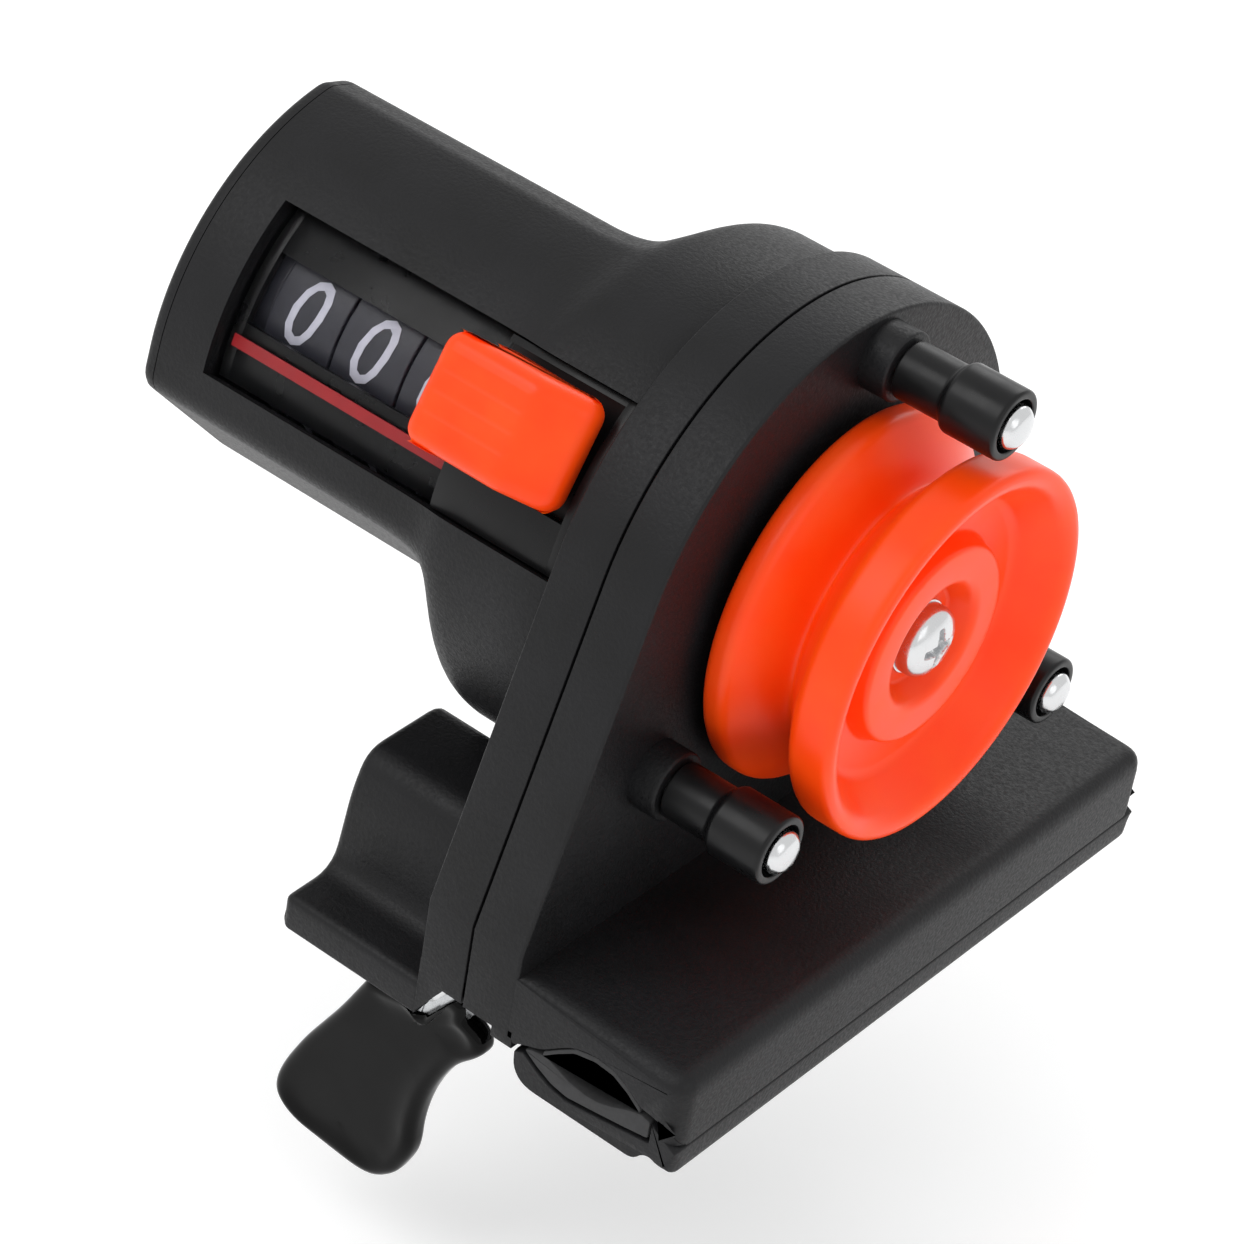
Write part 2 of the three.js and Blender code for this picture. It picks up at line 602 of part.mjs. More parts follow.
// ---- rod grip: pad above, lined jaw below, hinged on a pin and worked by a steel lever
const offset = (pts, dz) => pts.map(([x, z]) => [x, z + dz]);
const roof = arch.slice(1, -1);
add("base_pad", alongY([...offset(roof, -1.1), ...offset(roof, -0.3).reverse()], END_NEAR + 0.2, END_FAR - 0.2), RUBBER);
const bed = [[2.2, -39.9], [4.6, -41.0], [7.5, -41.8], [10.7, -41.9], [14.0, -41.4], [18.6, -40.2]];
{
  let s = alongY(
    [
      ...bed,
      [BASE_X1, BASE_SPLIT - GAP],
      [BASE_X1, BASE_BOTTOM + 1.2],
      [BASE_X1 - 1.2, BASE_BOTTOM],
      [19.5, BASE_BOTTOM],
      [19.2, -42.3],
      [17.7, -42.3],
      [17.3, BASE_BOTTOM + 0.3],
      [15.6, BASE_BOTTOM + 0.2],
      [2.0, -43.7],
      [0.8, -42.8],
      [0.7, -39.9],
    ].reverse(),
    END_NEAR + 0.1,
    END_FAR,
  );
  const ear = [
    ...arc(PIN_X, PIN_Z, 2.7, 60, 250, 8),
    [0.0, -42.9],
    [1.4, -42.6],
    [1.4, -40.2],
    [0.0, -39.9],
  ];
  s = s.add(alongY(ear, 31.3, 36.7)).subtract(rodY(PIN_X, PIN_Z, PIN_R + GAP, 30, 38, 16));
  s = s.subtract(box(-1, 12.6, -38.8, -36.4, -46, -42.3));
  add("lower_jaw", s, ABS);
}
add(
  "jaw_liner",
  alongY(
    [
      [2.4, -39.5],
      [4.6, -40.6],
      [7.5, -41.4],
      [10.7, -41.5],
      [14.0, -41.0],
      [18.4, -39.9],
      [18.4, -39.4],
      [17.6, -38.5],
      [13.6, -39.4],
      [10.3, -39.8],
      [6.9, -39.6],
      [3.4, -38.9],
      [2.4, -39.0],
    ],
    END_NEAR + 0.2,
    END_FAR - 0.2,
  ),
  RUBBER,
);
const LEVER = [
  ...arc(PIN_X, PIN_Z, 4.7, 0, 215, 14),
  [-17.5, -47.5],
  [-24.5, -61.5],
  [-25.5, -66.5],
  [-17.5, -66.5],
  [-16.0, -58.0],
  [-12.4, -50.0],
  ...arc(PIN_X, PIN_Z, 4.7, 275, 345, 5),
];
const ARM = [
  ...arc(PIN_X, PIN_Z, 3.9, 20, 270, 14),
  [-4.0, -43.6],
  [0.0, -44.0],
  [12.2, -44.4],
  [12.2, -42.8],
  [0.6, -42.8],
  [-6.0, -39.6],
];
const GRIP = [
  [-20.9, -45.6],
  [-24.3, -52.3],
  [-28.6, -59.5],
  [-30.9, -64.4],
  [-31.8, -67.6],
  [-31.2, -69.8],
  [-28.5, -71.4],
  [-22.3, -72.1],
  [-18.5, -72.3],
  [-15.9, -71.7],
  [-13.6, -69.6],
  [-11.7, -65.5],
  [-11.8, -61.4],
  [-11.2, -57.3],
  [-10.0, -53.6],
  [-8.0, -49.7],
  [-5.1, -46.9],
  [-4.2, -45.2],
  [-5.1, -43.6],
  [-7.3, -42.7],
  [-7.9, -41.3],
  [-9.0, -40.9],
  [-13.6, -46.7],
  [-15.6, -47.5],
  [-16.9, -46.0],
];
add(
  "jaw_lever",
  alongY(LEVER, -41.4, -39.8)
    .add(rodY(PIN_X, PIN_Z, 3.4, -40.2, -37.0, 24))
    .add(alongY(ARM, -38.4, -36.8))
    .subtract(rodY(PIN_X, PIN_Z, PIN_R + GAP, -45, -36, 16)),
  STEEL,
);
{
  const grown = [
    ...arc(PIN_X, PIN_Z, 5.2, 190, 215, 2),
    [-17.9, -47.4],
    [-24.9, -61.4],
    [-25.9, -66.9],
    [-17.2, -66.9],
    [-15.6, -58.1],
    [-12.0, -50.2],
    ...arc(PIN_X, PIN_Z, 5.2, 275, 360, 6),
    [-11.4, -36],
    [-16.6, -40],
  ];
  add("lever_grip", alongY([...GRIP].reverse(), -42.1, -39.1).subtract(alongY(grown, -41.7, -39.5)).subtract(rodY(PIN_X, PIN_Z, 3.8, -39.8, -38.5, 24)), VINYL);
}
add("hinge_pin", rodY(PIN_X, PIN_Z, PIN_R, END_NEAR + 0.1, END_FAR - 2.4, 16), STEEL);
add(
  "hinge_spring",
  coil(new Helix(new THREE.Vector3(PIN_X, -8.8, PIN_Z), new THREE.Vector3(0, 1, 0), new THREE.Vector3(1, 0, 0), 2.1, 1.9, 6), 0.35, 54),
  STEEL,
);

// ---- screws that hold the housing and the two frames together
const screw = (y, z, x, length, head = 2.5) => {
  const s = turned([[0, x - 1.5], [head * 0.7, x - 1.4], [head, x - 0.5], [head, x], [1.1, x], [1.1, x + length], [0, x + length]], y, z, 16);
  return s.subtract(box(x - 2, x - 0.5, y - head * 0.6, y + head * 0.6, z - 0.3, z + 0.3)).subtract(box(x - 2, x - 0.5, y - 0.3, y + 0.3, z - head * 0.6, z + head * 0.6));
};
[[25.3, -4.0], [13.0, -22.5], [-12.0, -23.0]].forEach(([y, z], i) => add("housing_screw_" + (i + 1), screw(y, z, -26.7, 18.2), STEEL));
add("frame_screw_near", screw(-29.5, -32.5, -24.3, 22.2, 2.6), STEEL);
add("frame_screw_far", screw(34.0, -30.0, -10.9, 8.8, 2.6), STEEL);

export default group;
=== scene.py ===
# %% [markdown]
# # A clip-on line counter
#
# The object is a small instrument that clips on a rod. Line runs over an orange wheel,
# gears turn three figure drums behind a clear window, and an orange button sets them to
# zero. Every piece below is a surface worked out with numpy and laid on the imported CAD
# model, which stays the frame that the joints belong to.

# %% The frame
import json
import math

import bmesh
import bpy
import numpy as np
from mathutils import Matrix, Vector


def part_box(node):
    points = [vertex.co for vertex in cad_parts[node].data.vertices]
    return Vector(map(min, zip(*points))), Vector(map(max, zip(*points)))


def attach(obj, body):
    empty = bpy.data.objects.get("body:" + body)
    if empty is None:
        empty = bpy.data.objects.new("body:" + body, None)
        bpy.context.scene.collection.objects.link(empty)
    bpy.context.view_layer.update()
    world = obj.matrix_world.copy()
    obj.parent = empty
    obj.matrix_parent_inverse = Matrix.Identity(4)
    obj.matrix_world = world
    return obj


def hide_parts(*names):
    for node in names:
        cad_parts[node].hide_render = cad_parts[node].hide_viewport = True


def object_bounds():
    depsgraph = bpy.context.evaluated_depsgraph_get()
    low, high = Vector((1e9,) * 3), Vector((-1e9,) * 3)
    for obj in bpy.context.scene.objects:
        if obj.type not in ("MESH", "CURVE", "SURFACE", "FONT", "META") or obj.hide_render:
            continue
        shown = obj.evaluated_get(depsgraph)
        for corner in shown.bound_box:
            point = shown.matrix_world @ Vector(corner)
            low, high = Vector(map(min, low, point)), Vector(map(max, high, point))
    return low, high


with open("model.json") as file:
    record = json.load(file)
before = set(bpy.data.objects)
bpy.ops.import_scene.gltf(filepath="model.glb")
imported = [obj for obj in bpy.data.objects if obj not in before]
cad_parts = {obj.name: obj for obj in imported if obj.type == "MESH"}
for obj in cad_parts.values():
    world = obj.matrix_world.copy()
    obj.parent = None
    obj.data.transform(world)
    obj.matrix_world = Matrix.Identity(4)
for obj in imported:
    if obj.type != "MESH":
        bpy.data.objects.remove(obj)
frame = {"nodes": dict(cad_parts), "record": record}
cad_box = [list(map(float, corner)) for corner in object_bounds()]
print("CAD box, mm:", [[round(v * 1000, 1) for v in corner] for corner in cad_box])

# %% [markdown]
# ## One place to measure from
#
# All dimensions are in millimetres from the wheel's axle, where it leaves the front face
# of the wheel plate. The CAD wheel says where that is: its box is centred on the axle, and
# its hub stands 1.1 mm in front of the plate.

# %% Millimetres on the axle to metres in the frame
wheel_low, wheel_high = (np.array(c, dtype=float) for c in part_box("measuring_wheel"))
HUB_STANDS_OFF = 0.0011
AXLE = np.array(
    [
        wheel_low[0] - HUB_STANDS_OFF, (wheel_low[1] + wheel_high[1]) / 2,
        (wheel_low[2] + wheel_high[2]) / 2
    ]
)
LEAN = math.radians(30)  # the reading face leans back by this angle


def placed(points):
    """Points in mm from the axle become points in metres in the frame: point / 1000 + axle."""
    return np.asarray(points, dtype=float) / 1000 + AXLE


def on_face(n, s):
    """(n, s), outwards from the axle and along the leaning reading face, to (y, z): a turn by the lean."""
    n, s = np.asarray(n, dtype=float), np.asarray(s, dtype=float)
    return -n * math.cos(LEAN) + s * math.sin(LEAN), n * math.sin(LEAN) + s * math.cos(LEAN)


print("axle at, mm:", np.round(AXLE * 1000, 2))

# %% [markdown]
# ## Grids of points
#
# A surface is a grid of rows of points. Neighbouring rows and columns make four-sided
# faces. A closed piece closes its grid by wrapping it round, or by a flat face over the
# first and the last row. Index arrays do this for the whole grid at once, so no loop
# visits single points.

# %% Grids to meshes
pieces = {}


def mesh_piece(name, parts, sharp=35, recalc=True):
    """One object from several (points, faces) pairs: points are laid end to end, and each
    part's faces are moved up by the number of points before it. Edges sharper than the
    angle in degrees stay crisp, all others are shaded smooth."""
    vertices, faces, first = [], [], 0
    for points, part_faces in parts:
        vertices.append(placed(points))
        faces += [[i + first for i in f] for f in part_faces]
        first += len(points)
    mesh = bpy.data.meshes.new(name)
    mesh.from_pydata(np.concatenate(vertices), [], faces)
    if recalc:
        work = bmesh.new()
        work.from_mesh(mesh)
        bmesh.ops.remove_doubles(work, verts=work.verts, dist=1e-7)
        bmesh.ops.recalc_face_normals(work, faces=work.faces)
        work.to_mesh(mesh)
        work.free()
    mesh.shade_smooth()
    mesh.set_sharp_from_angle(angle=math.radians(sharp))
    piece = bpy.data.objects.new(name, mesh)
    bpy.context.scene.collection.objects.link(piece)
    pieces[name] = piece
    return piece


def grid(rows, wrap_columns=True, wrap_rows=False, first_cap=True, last_cap=True):
    """(points, faces) of an array of shape (rows, columns, 3). Face (i, j) joins the points
    (i, j), (i, j+1), (i+1, j+1), (i+1, j); wrapping takes the index modulo the count."""
    rows = np.asarray(rows, dtype=float)
    m, n = rows.shape[:2]
    i, j = np.meshgrid(
        np.arange(m if wrap_rows else m - 1), np.arange(n if wrap_columns else n - 1), indexing="ij"
    )
    i2, j2 = (i + 1) % m, (j + 1) % n
    faces = np.stack([i * n + j, i * n + j2, i2 * n + j2, i2 * n + j], axis=-1).reshape(-1, 4).tolist()
    if first_cap and not wrap_rows:
        faces.append(list(range(n))[::-1])
    if last_cap and not wrap_rows:
        faces.append([(m - 1) * n + k for k in range(n)])
    return rows.reshape(-1, 3), faces


# %% [markdown]
# ## Turned shapes
#
# Wheels, washers, sleeves and drums are turned: a profile of (radius, x) points goes once
# round an axis parallel to X. Moulded and machined corners are never quite sharp, so the
# corners of the profile are first cut with small arcs.

# %% Rounded profiles and turned pieces
def eased(corners, radii, closed=False, steps=5):
    """A polyline with its corners rounded: each corner of radius r is replaced by a curve
    that leaves the incoming edge and joins the outgoing one at up to r from the corner,
    the quadratic (1-t)^2 a + 2t(1-t) corner + t^2 b."""
    corners = np.asarray(corners, dtype=float)
    radii = np.broadcast_to(np.asarray(radii, dtype=float), (len(corners),))
    before, after = np.roll(corners, 1, 0), np.roll(corners, -1, 0)
    t = np.linspace(0, 1, steps + 1)[:, None]
    out = []
    for k, (p, c, q, r) in enumerate(zip(before, corners, after, radii)):
        if r <= 0 or (not closed and k in (0, len(corners) - 1)):
            out.append(c[None])
            continue
        into, away = np.linalg.norm(p - c), np.linalg.norm(q - c)
        a = c + (p - c) / into * min(r, into * 0.49)
        b = c + (q - c) / away * min(r, away * 0.49)
        out.append((1 - t) ** 2 * a + 2 * t * (1 - t) * c + t**2 * b)
    return np.concatenate(out)


def turned(profile, y=0.0, z=0.0, around=96, closed=True):
    """(points, faces) of a profile of (radius, x) turned about the line through (y, z):
    the point at angle a is (x, y + r cos a, z + r sin a). A closed profile wraps in both
    directions; an open one starts and ends on the axis."""
    profile = np.asarray(profile, dtype=float)
    a = np.linspace(0, 2 * np.pi, around, endpoint=False)[None, :]
    r, x = profile[:, :1], profile[:, 1:]
    rows = np.stack(np.broadcast_arrays(x + 0 * a, y + r * np.cos(a), z + r * np.sin(a)), axis=-1)
    return grid(rows, wrap_rows=closed, first_cap=not closed, last_cap=not closed)


# %% [markdown]
# ## Moulded plates
#
# A plate, a bar or a block is an outline with thickness. Its rim is a small section of
# (inset, depth) steps carried along the outline: at each step the outline is drawn in by
# the inset, along the mean normal of its two edges. A quarter circle as the section gives
# the soft edge that a mould leaves.

# %% Plates with a section round their rim
def inset(outline, by):
    """The outline moved inwards: each point moves along the bisector of its edges' normals,
    by the inset divided by the cosine of half the turn, up to 1.6 times."""
    outline = np.asarray(outline, dtype=float)
    edge = np.roll(outline, -1, 0) - outline
    edge /= np.linalg.norm(edge, axis=1, keepdims=True) + 1e-12
    area = np.sum(
        outline[:, 0] * np.roll(outline[:, 1], -1) - outline[:, 1] * np.roll(outline[:, 0], -1)
    )
    normal = np.stack([-edge[:, 1], edge[:, 0]], axis=1) * np.sign(area)
    mean = normal + np.roll(normal, 1, 0)
    mean /= np.linalg.norm(mean, axis=1, keepdims=True) + 1e-12
    stretch = np.minimum(1 / np.maximum(np.sum(mean * normal, axis=1), 0.3), 1.6)
    return outline + mean * (stretch * np.asarray(by, dtype=float) * np.ones(len(outline)))[:, None]


def quarter(radius, steps=5):
    """(inset, depth) steps of a quarter circle, from the face of the plate round to its rim."""
    a = np.linspace(0, np.pi / 2, steps + 1)
    return np.stack([radius * (1 - np.sin(a)), radius * (1 - np.cos(a))], axis=1)


def section(r0, r1, thickness, steps=5):
    """The whole rim: a quarter circle of radius r0 at the first face, and of r1 at the last."""
    first, last = quarter(r0, steps), quarter(r1, steps)[::-1]
    return np.concatenate([first, np.stack([last[:, 0], thickness - last[:, 1]], axis=1)])


def carried(outline, rim, start, along="x", weight=1.0):
    """(points, faces) of a rim section of (inset, depth) carried round an outline. Along x
    the outline is (y, z), along y it is (x, z), and along s it is (x, n) on the leaning
    face. weight, one number per outline point, scales the inset there."""
    rows = []
    for by, depth in rim:
        o = inset(outline, by * np.asarray(weight)) if by else np.asarray(outline, dtype=float)
        d = np.full(len(o), start + depth)
        if along == "x":
            rows.append(np.stack([d, o[:, 0], o[:, 1]], axis=1))
        elif along == "y":
            rows.append(np.stack([o[:, 0], d, o[:, 1]], axis=1))
        else:
            y, z = on_face(o[:, 1], d)
            rows.append(np.stack([o[:, 0], y, z], axis=1))
    return grid(rows)


def arc(cy, cz, r, a0, a1, steps):
    """Points of a circle's arc from angle a0 to a1 in degrees: centre + r (cos a, sin a)."""
    a = np.radians(np.linspace(a0, a1, steps + 1))
    return np.stack([cy + r * np.cos(a), cz + r * np.sin(a)], axis=1)


# %% [markdown]
# ## Finishes
#
# A finish is a Principled BSDF with a few nodes in front of it. Colours are written as
# sRGB hex, as a paint chart gives them, and turned to linear light once. One small helper
# adds a node with its settings and links; every pattern reads Object coordinates, which
# are metres, so a grain of 0.5 mm is a scale of about 2000.

# %% Colour and node helpers
def hex_colour(code):
    """sRGB hex to linear: c / 12.92 below 0.04045, else ((c + 0.055) / 1.055) ^ 2.4."""
    c = np.array([int(code[i : i + 2], 16) / 255 for i in (1, 3, 5)])
    return (*np.where(c <= 0.04045, c / 12.92, ((c + 0.055) / 1.055) ** 2.4), 1.0)


def node(tree, kind, settings=(), **links):
    """Adds a node of a kind, sets its attributes, then its inputs: a plain value is set on
    the socket, an output socket is linked to it."""
    made = tree.nodes.new(kind)
    for key, value in dict(settings).items():
        setattr(made, key, value)
    for key, value in links.items():
        socket = made.inputs[int(key[1:])] if key[0] == "_" and key[1:].isdigit() else made.inputs[
            key.replace("_", " ")
        ]
        if isinstance(value, bpy.types.NodeSocket):
            tree.links.new(value, socket)
        else:
            socket.default_value = value
    return made


def finish(name, colour, roughness, metallic=0.0, **sockets):
    """A new material with a Principled BSDF: returns it with its tree, shader and the
    Object coordinates that its patterns read."""
    made = bpy.data.materials.new(name)
    made.use_nodes = True
    tree = made.node_tree
    shader = tree.nodes["Principled BSDF"]
    shader.inputs["Base Color"].default_value = hex_colour(colour)
    shader.inputs["Roughness"].default_value = roughness
    shader.inputs["Metallic"].default_value = metallic
    for key, value in sockets.items():
        shader.inputs[key.replace("_", " ")].default_value = value
    where = node(tree, "ShaderNodeTexCoord").outputs["Object"]
    return made, tree, shader, where


def mixed(tree, amount, first, second):
    """A colour ramp of two colours over an amount from 0 to 1."""
    ramp = node(tree, "ShaderNodeValToRGB", Fac=amount)
    ramp.color_ramp.elements[0].color = hex_colour(first)
    ramp.color_ramp.elements[1].color = hex_colour(second)
    return ramp.outputs["Color"]


def ranged(tree, value, low, high, start=0.0, end=1.0):
    """Maps a value from start..end to low..high."""
    return node(
        tree, "ShaderNodeMapRange", Value=value, From_Min=start, From_Max=end, To_Min=low, To_Max=high
    ).outputs["Result"]


# %% [markdown]
# ### Spark-textured ABS
#
# The frame, housing and jaw are black ABS from a spark-eroded mould. The mould leaves a
# grain of about 0.4 mm that breaks the highlight into fine specks, and the black reads as
# a dark neutral grey under soft light.

# %% Black ABS
abs_black, tree, shader, where = finish(
    "spark_textured_ABS", "#131314", 0.46, IOR=1.5, Specular_IOR_Level=0.24
)
grain = node(
    tree, "ShaderNodeTexNoise", Vector=where, Scale=2300, Detail=2.0, Roughness=0.6
).outputs["Fac"]
cloud = node(
    tree, "ShaderNodeTexNoise", Vector=where, Scale=90, Detail=3.0, Roughness=0.5
).outputs["Fac"]
tree.links.new(
    mixed(tree, ranged(tree, cloud, 0, 1, 0.3, 0.7), "#111112", "#18181a"), shader.inputs["Base Color"]
)
tree.links.new(ranged(tree, grain, 0.38, 0.56, 0.3, 0.7), shader.inputs["Roughness"])
tree.links.new(
    node(tree, "ShaderNodeBump", Height=grain, Strength=0.5, Distance=0.00012).outputs["Normal"],
    shader.inputs["Normal"]
)

smooth_black, tree, shader, where = finish(
    "smooth_moulded_ABS", "#0e0e0f", 0.3, IOR=1.5, Specular_IOR_Level=0.26
)
flow = node(
    tree, "ShaderNodeTexNoise", Vector=where, Scale=240, Detail=3.0, Roughness=0.55
).outputs["Fac"]
tree.links.new(ranged(tree, flow, 0.24, 0.4, 0.3, 0.7), shader.inputs["Roughness"])
tree.links.new(
    node(tree, "ShaderNodeBump", Height=flow, Strength=0.12, Distance=0.00008).outputs["Normal"],
    shader.inputs["Normal"]
)

# %% [markdown]
# ### Orange polypropylene
#
# Wheel and button are moulded in a bright orange-red polypropylene. Light travels a little
# way into it, so its shadows stay warm, and it has the soft shine of a polished mould with
# very shallow flow marks.

# %% Orange moulding
orange, tree, shader, where = finish(
    "orange_polypropylene", "#FF5210", 0.3, IOR=1.49, Specular_IOR_Level=0.28, Subsurface_Weight=0.1, Subsurface_Scale=0.001
)
shader.inputs["Subsurface Radius"].default_value = (1.0, 0.35, 0.1)
flow = node(
    tree, "ShaderNodeTexNoise", Vector=where, Scale=160, Detail=3.0, Roughness=0.5
).outputs["Fac"]
tree.links.new(
    mixed(tree, ranged(tree, flow, 0, 1, 0.3, 0.7), "#FF4205", "#FF4C0A"), shader.inputs["Base Color"]
)
tree.links.new(ranged(tree, flow, 0.28, 0.4, 0.3, 0.7), shader.inputs["Roughness"])
tree.links.new(
    node(tree, "ShaderNodeBump", Height=flow, Strength=0.1, Distance=0.00006).outputs["Normal"],
    shader.inputs["Normal"]
)

# %% [markdown]
# ### Steel, brass and acetal
#
# Screw, pins and lever are nickel-plated steel with fine turning marks and slight
# unevenness; the hidden bush and pinion are brass, the hidden gears natural acetal.

# %% Metals and gear plastic
def metal(name, colour, roughness, grain_mm):
    """A metal whose roughness follows a fine noise of a given grain."""
    made, tree, shader, where = finish(name, colour, roughness, 1.0)
    marks = node(
        tree, "ShaderNodeTexNoise", Vector=where, Scale=1000 / grain_mm, Detail=2.0, Roughness=0.6
    ).outputs["Fac"]
    tree.links.new(
        ranged(tree, marks, roughness - 0.07, roughness + 0.1, 0.3, 0.7), shader.inputs["Roughness"]
    )
    tree.links.new(
        node(tree, "ShaderNodeBump", Height=marks, Strength=0.15, Distance=0.00004).outputs["Normal"],
        shader.inputs["Normal"]
    )
    return made


nickel = metal("nickel_plated_steel", "#D6D7D8", 0.2, 0.9)
sheet_steel = metal("brushed_sheet_steel", "#C2C4C6", 0.28, 0.5)
brass = metal("turned_brass", "#C9A45A", 0.3, 0.6)
acetal, tree, shader, where = finish("natural_acetal", "#E4E1D6", 0.42, IOR=1.48)
tree.links.new(
    ranged(tree, node(tree, "ShaderNodeTexNoise", Vector=where, Scale=400).outputs["Fac"], 0.36, 0.48),
    shader.inputs["Roughness"]
)

# %% [markdown]
# ### Dipped vinyl, rubber, drums and window
#
# The lever's grip is dipped in black PVC, which dries as a thick glossy skin with gentle
# waves. Pads are matt black rubber. Drums are dark grey plastic with hot-stamped pale
# figures, seen through a clear polycarbonate window.

# %% Soft and clear finishes
vinyl, tree, shader, where = finish("dipped_PVC", "#040404", 0.1, IOR=1.45, Specular_IOR_Level=0.14)
waves = node(
    tree, "ShaderNodeTexNoise", Vector=where, Scale=110, Detail=2.0, Roughness=0.4
).outputs["Fac"]
tree.links.new(
    node(tree, "ShaderNodeBump", Height=waves, Strength=0.3, Distance=0.0003).outputs["Normal"],
    shader.inputs["Normal"]
)

rubber, tree, shader, where = finish("matt_rubber", "#2c2c2d", 0.75)
crumb = node(tree, "ShaderNodeTexNoise", Vector=where, Scale=1300, Detail=3.0).outputs["Fac"]
tree.links.new(mixed(tree, crumb, "#222223", "#363637"), shader.inputs["Base Color"])
tree.links.new(
    node(tree, "ShaderNodeBump", Height=crumb, Strength=0.4, Distance=0.00008).outputs["Normal"],
    shader.inputs["Normal"]
)

drum_grey, tree, shader, where = finish("grey_drum_plastic", "#3a3a43", 0.4)
speck = node(tree, "ShaderNodeTexNoise", Vector=where, Scale=1500, Detail=2.0).outputs["Fac"]
tree.links.new(mixed(tree, speck, "#24242b", "#3a3a43"), shader.inputs["Base Color"])
tree.links.new(ranged(tree, speck, 0.34, 0.5), shader.inputs["Roughness"])

figure_white, tree, shader, where = finish("stamped_figure_foil", "#DCDCE8", 0.5)
tree.links.new(
    mixed(
        tree, node(tree, "ShaderNodeTexNoise", Vector=where, Scale=1200).outputs["Fac"], "#B9B9C8",
        "#CFCFDC"
    ),
    shader.inputs["Base Color"]
)

stripe_red, tree, shader, where = finish("red_index_film", "#C02226", 0.45)
tree.links.new(
    mixed(
        tree, node(tree, "ShaderNodeTexNoise", Vector=where, Scale=300).outputs["Fac"], "#8E1219",
        "#AE1A20"
    ),
    shader.inputs["Base Color"]
)

clear, tree, shader, where = finish(
    "clear_polycarbonate", "#101114", 0.03, IOR=1.45, Specular_IOR_Level=0.16
)
shader.inputs["Alpha"].default_value = 0.05
haze = node(tree, "ShaderNodeTexNoise", Vector=where, Scale=150, Detail=2.0).outputs["Fac"]
tree.links.new(ranged(tree, haze, 0.02, 0.06, 0.3, 0.7), shader.inputs["Roughness"])


def dressed(piece, material, body, *nodes, slot=None):
    """Gives a piece its finish and says which body it rides on and which CAD nodes it replaces."""
    piece.data.materials.clear()
    piece.data.materials.append(material)
    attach(piece, body)
    if nodes:
        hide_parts(*nodes)
    return piece


# %% [markdown]
# ## The wheel
#
# The measuring wheel is one moulding: two rounded flanges with a V groove whose bottom is
# a tenth of a metre round, a dished face, and a raised hub ring round the screw. It is
# turned from one closed profile with eased corners.

# %% Measuring wheel
FLANGE_R, GROOVE_R = 22.0, 15.9
wheel_profile = eased(
    [
        (2.3, 1.1), (8.0, 1.1), (19.4, 2.6), (20.0, 1.5), (FLANGE_R, 1.5), (FLANGE_R, 4.3),
        (GROOVE_R, 8.3), (GROOVE_R, 9.1),
        (FLANGE_R, 13.2), (FLANGE_R, 18.3), (19.9, 18.3), (16.6, 13.0), (12.3, 12.8), (11.6, 15.3),
        (7.3, 15.3), (5.9, 12.4), (2.3, 12.4),
    ],
    [0, 0, 0.6, 0.6, 1.2, 0.9, 1.6, 1.6, 0.9, 1.3, 1.5, 0.9, 0.4, 0.6, 0.9, 0.4, 0],
    closed=True,
)
wheel = mesh_piece("wheel_moulding", [turned(wheel_profile, around=192)])
dressed(wheel, orange, "wheel", "measuring_wheel", slot="orange_plastic")
print("wheel faces:", len(wheel.data.polygons))

# %% [markdown]
# Ejector pins push the wheel out of its mould and leave two small round marks on the
# dished face.

# %% Ejector marks
def button_mark(x, y, z, r, h):
    """A low disc, turned about its own axis: radius r, standing h proud."""
    return turned(
        eased([(0, x), (r, x), (r, x + h), (0, x + h)], [0, 0, h * 0.6, 0]), y, z, 24, closed=False
    )


marks = mesh_piece(
    "ejector_marks",
    [
        button_mark(12.75, 14.2 * math.cos(a), 14.2 * math.sin(a), 0.75, 0.22)
        for a in np.radians([97, 277])
    ],
)
dressed(marks, orange, "wheel", slot="orange_plastic")

# %% [markdown]
# ## Hub screw
#
# A pan-head cross-recess screw holds the wheel. The head is a polar grid: its height is a
# dome, less the depth of a cross with tapering arms, so the recess is part of the same
# function of radius and angle.

# %% Screw head with a cross recess
def cross_dome(r, rise, x, depth, half_width, reach, around=144, rings=44):
    """Height over (radius, angle): x + rise (1 - (r/R)^2.6)^0.5 for the dome, minus depth
    times a smooth step that is 1 inside the cross |y| or |z| < half width, out to reach."""
    rad = r * np.linspace(0, 1, rings)[1:, None]
    a = np.linspace(0, 2 * np.pi, around, endpoint=False)[None, :]
    y, z = rad * np.cos(a), rad * np.sin(a)
    dome = x + rise * np.sqrt(np.clip(1 - (rad / r) ** 2.6, 0, 1))
    taper = half_width * (1.15 - 0.45 * rad / reach)
    arm = np.clip((taper - np.minimum(abs(y), abs(z))) / 0.18 + 0.5, 0, 1)
    ends = np.clip((reach - rad) / 0.35 + 0.5, 0, 1)
    high = dome + 0 * a - depth * arm * ends * (1 - 0.45 * rad / reach)
    rows = np.stack([high, y, z], axis=-1)
    skirt = np.stack([np.full_like(y[-1:], x - 1.0), y[-1:], z[-1:]], axis=-1)
    return grid(np.concatenate([rows, skirt]))


screw_parts = [
    cross_dome(4.15, 1.9, 14.2, 1.5, 0.62, 2.3),
    turned([(0, 11.9), (1.2, 11.9), (1.2, 13.3), (0, 13.3)], around=32, closed=False),
]
hub_screw = mesh_piece("hub_screw_head", screw_parts, sharp=50)
dressed(hub_screw, nickel, "wheel", "hub_screw", slot="steel")
hub_washer = mesh_piece(
    "hub_washer_ring",
    [turned(eased([(1.4, 12.7), (4.4, 12.7), (4.4, 13.2), (1.4, 13.2)], 0.15, closed=True), around=64)]
)
dressed(hub_washer, nickel, "wheel", "hub_washer", slot="steel")

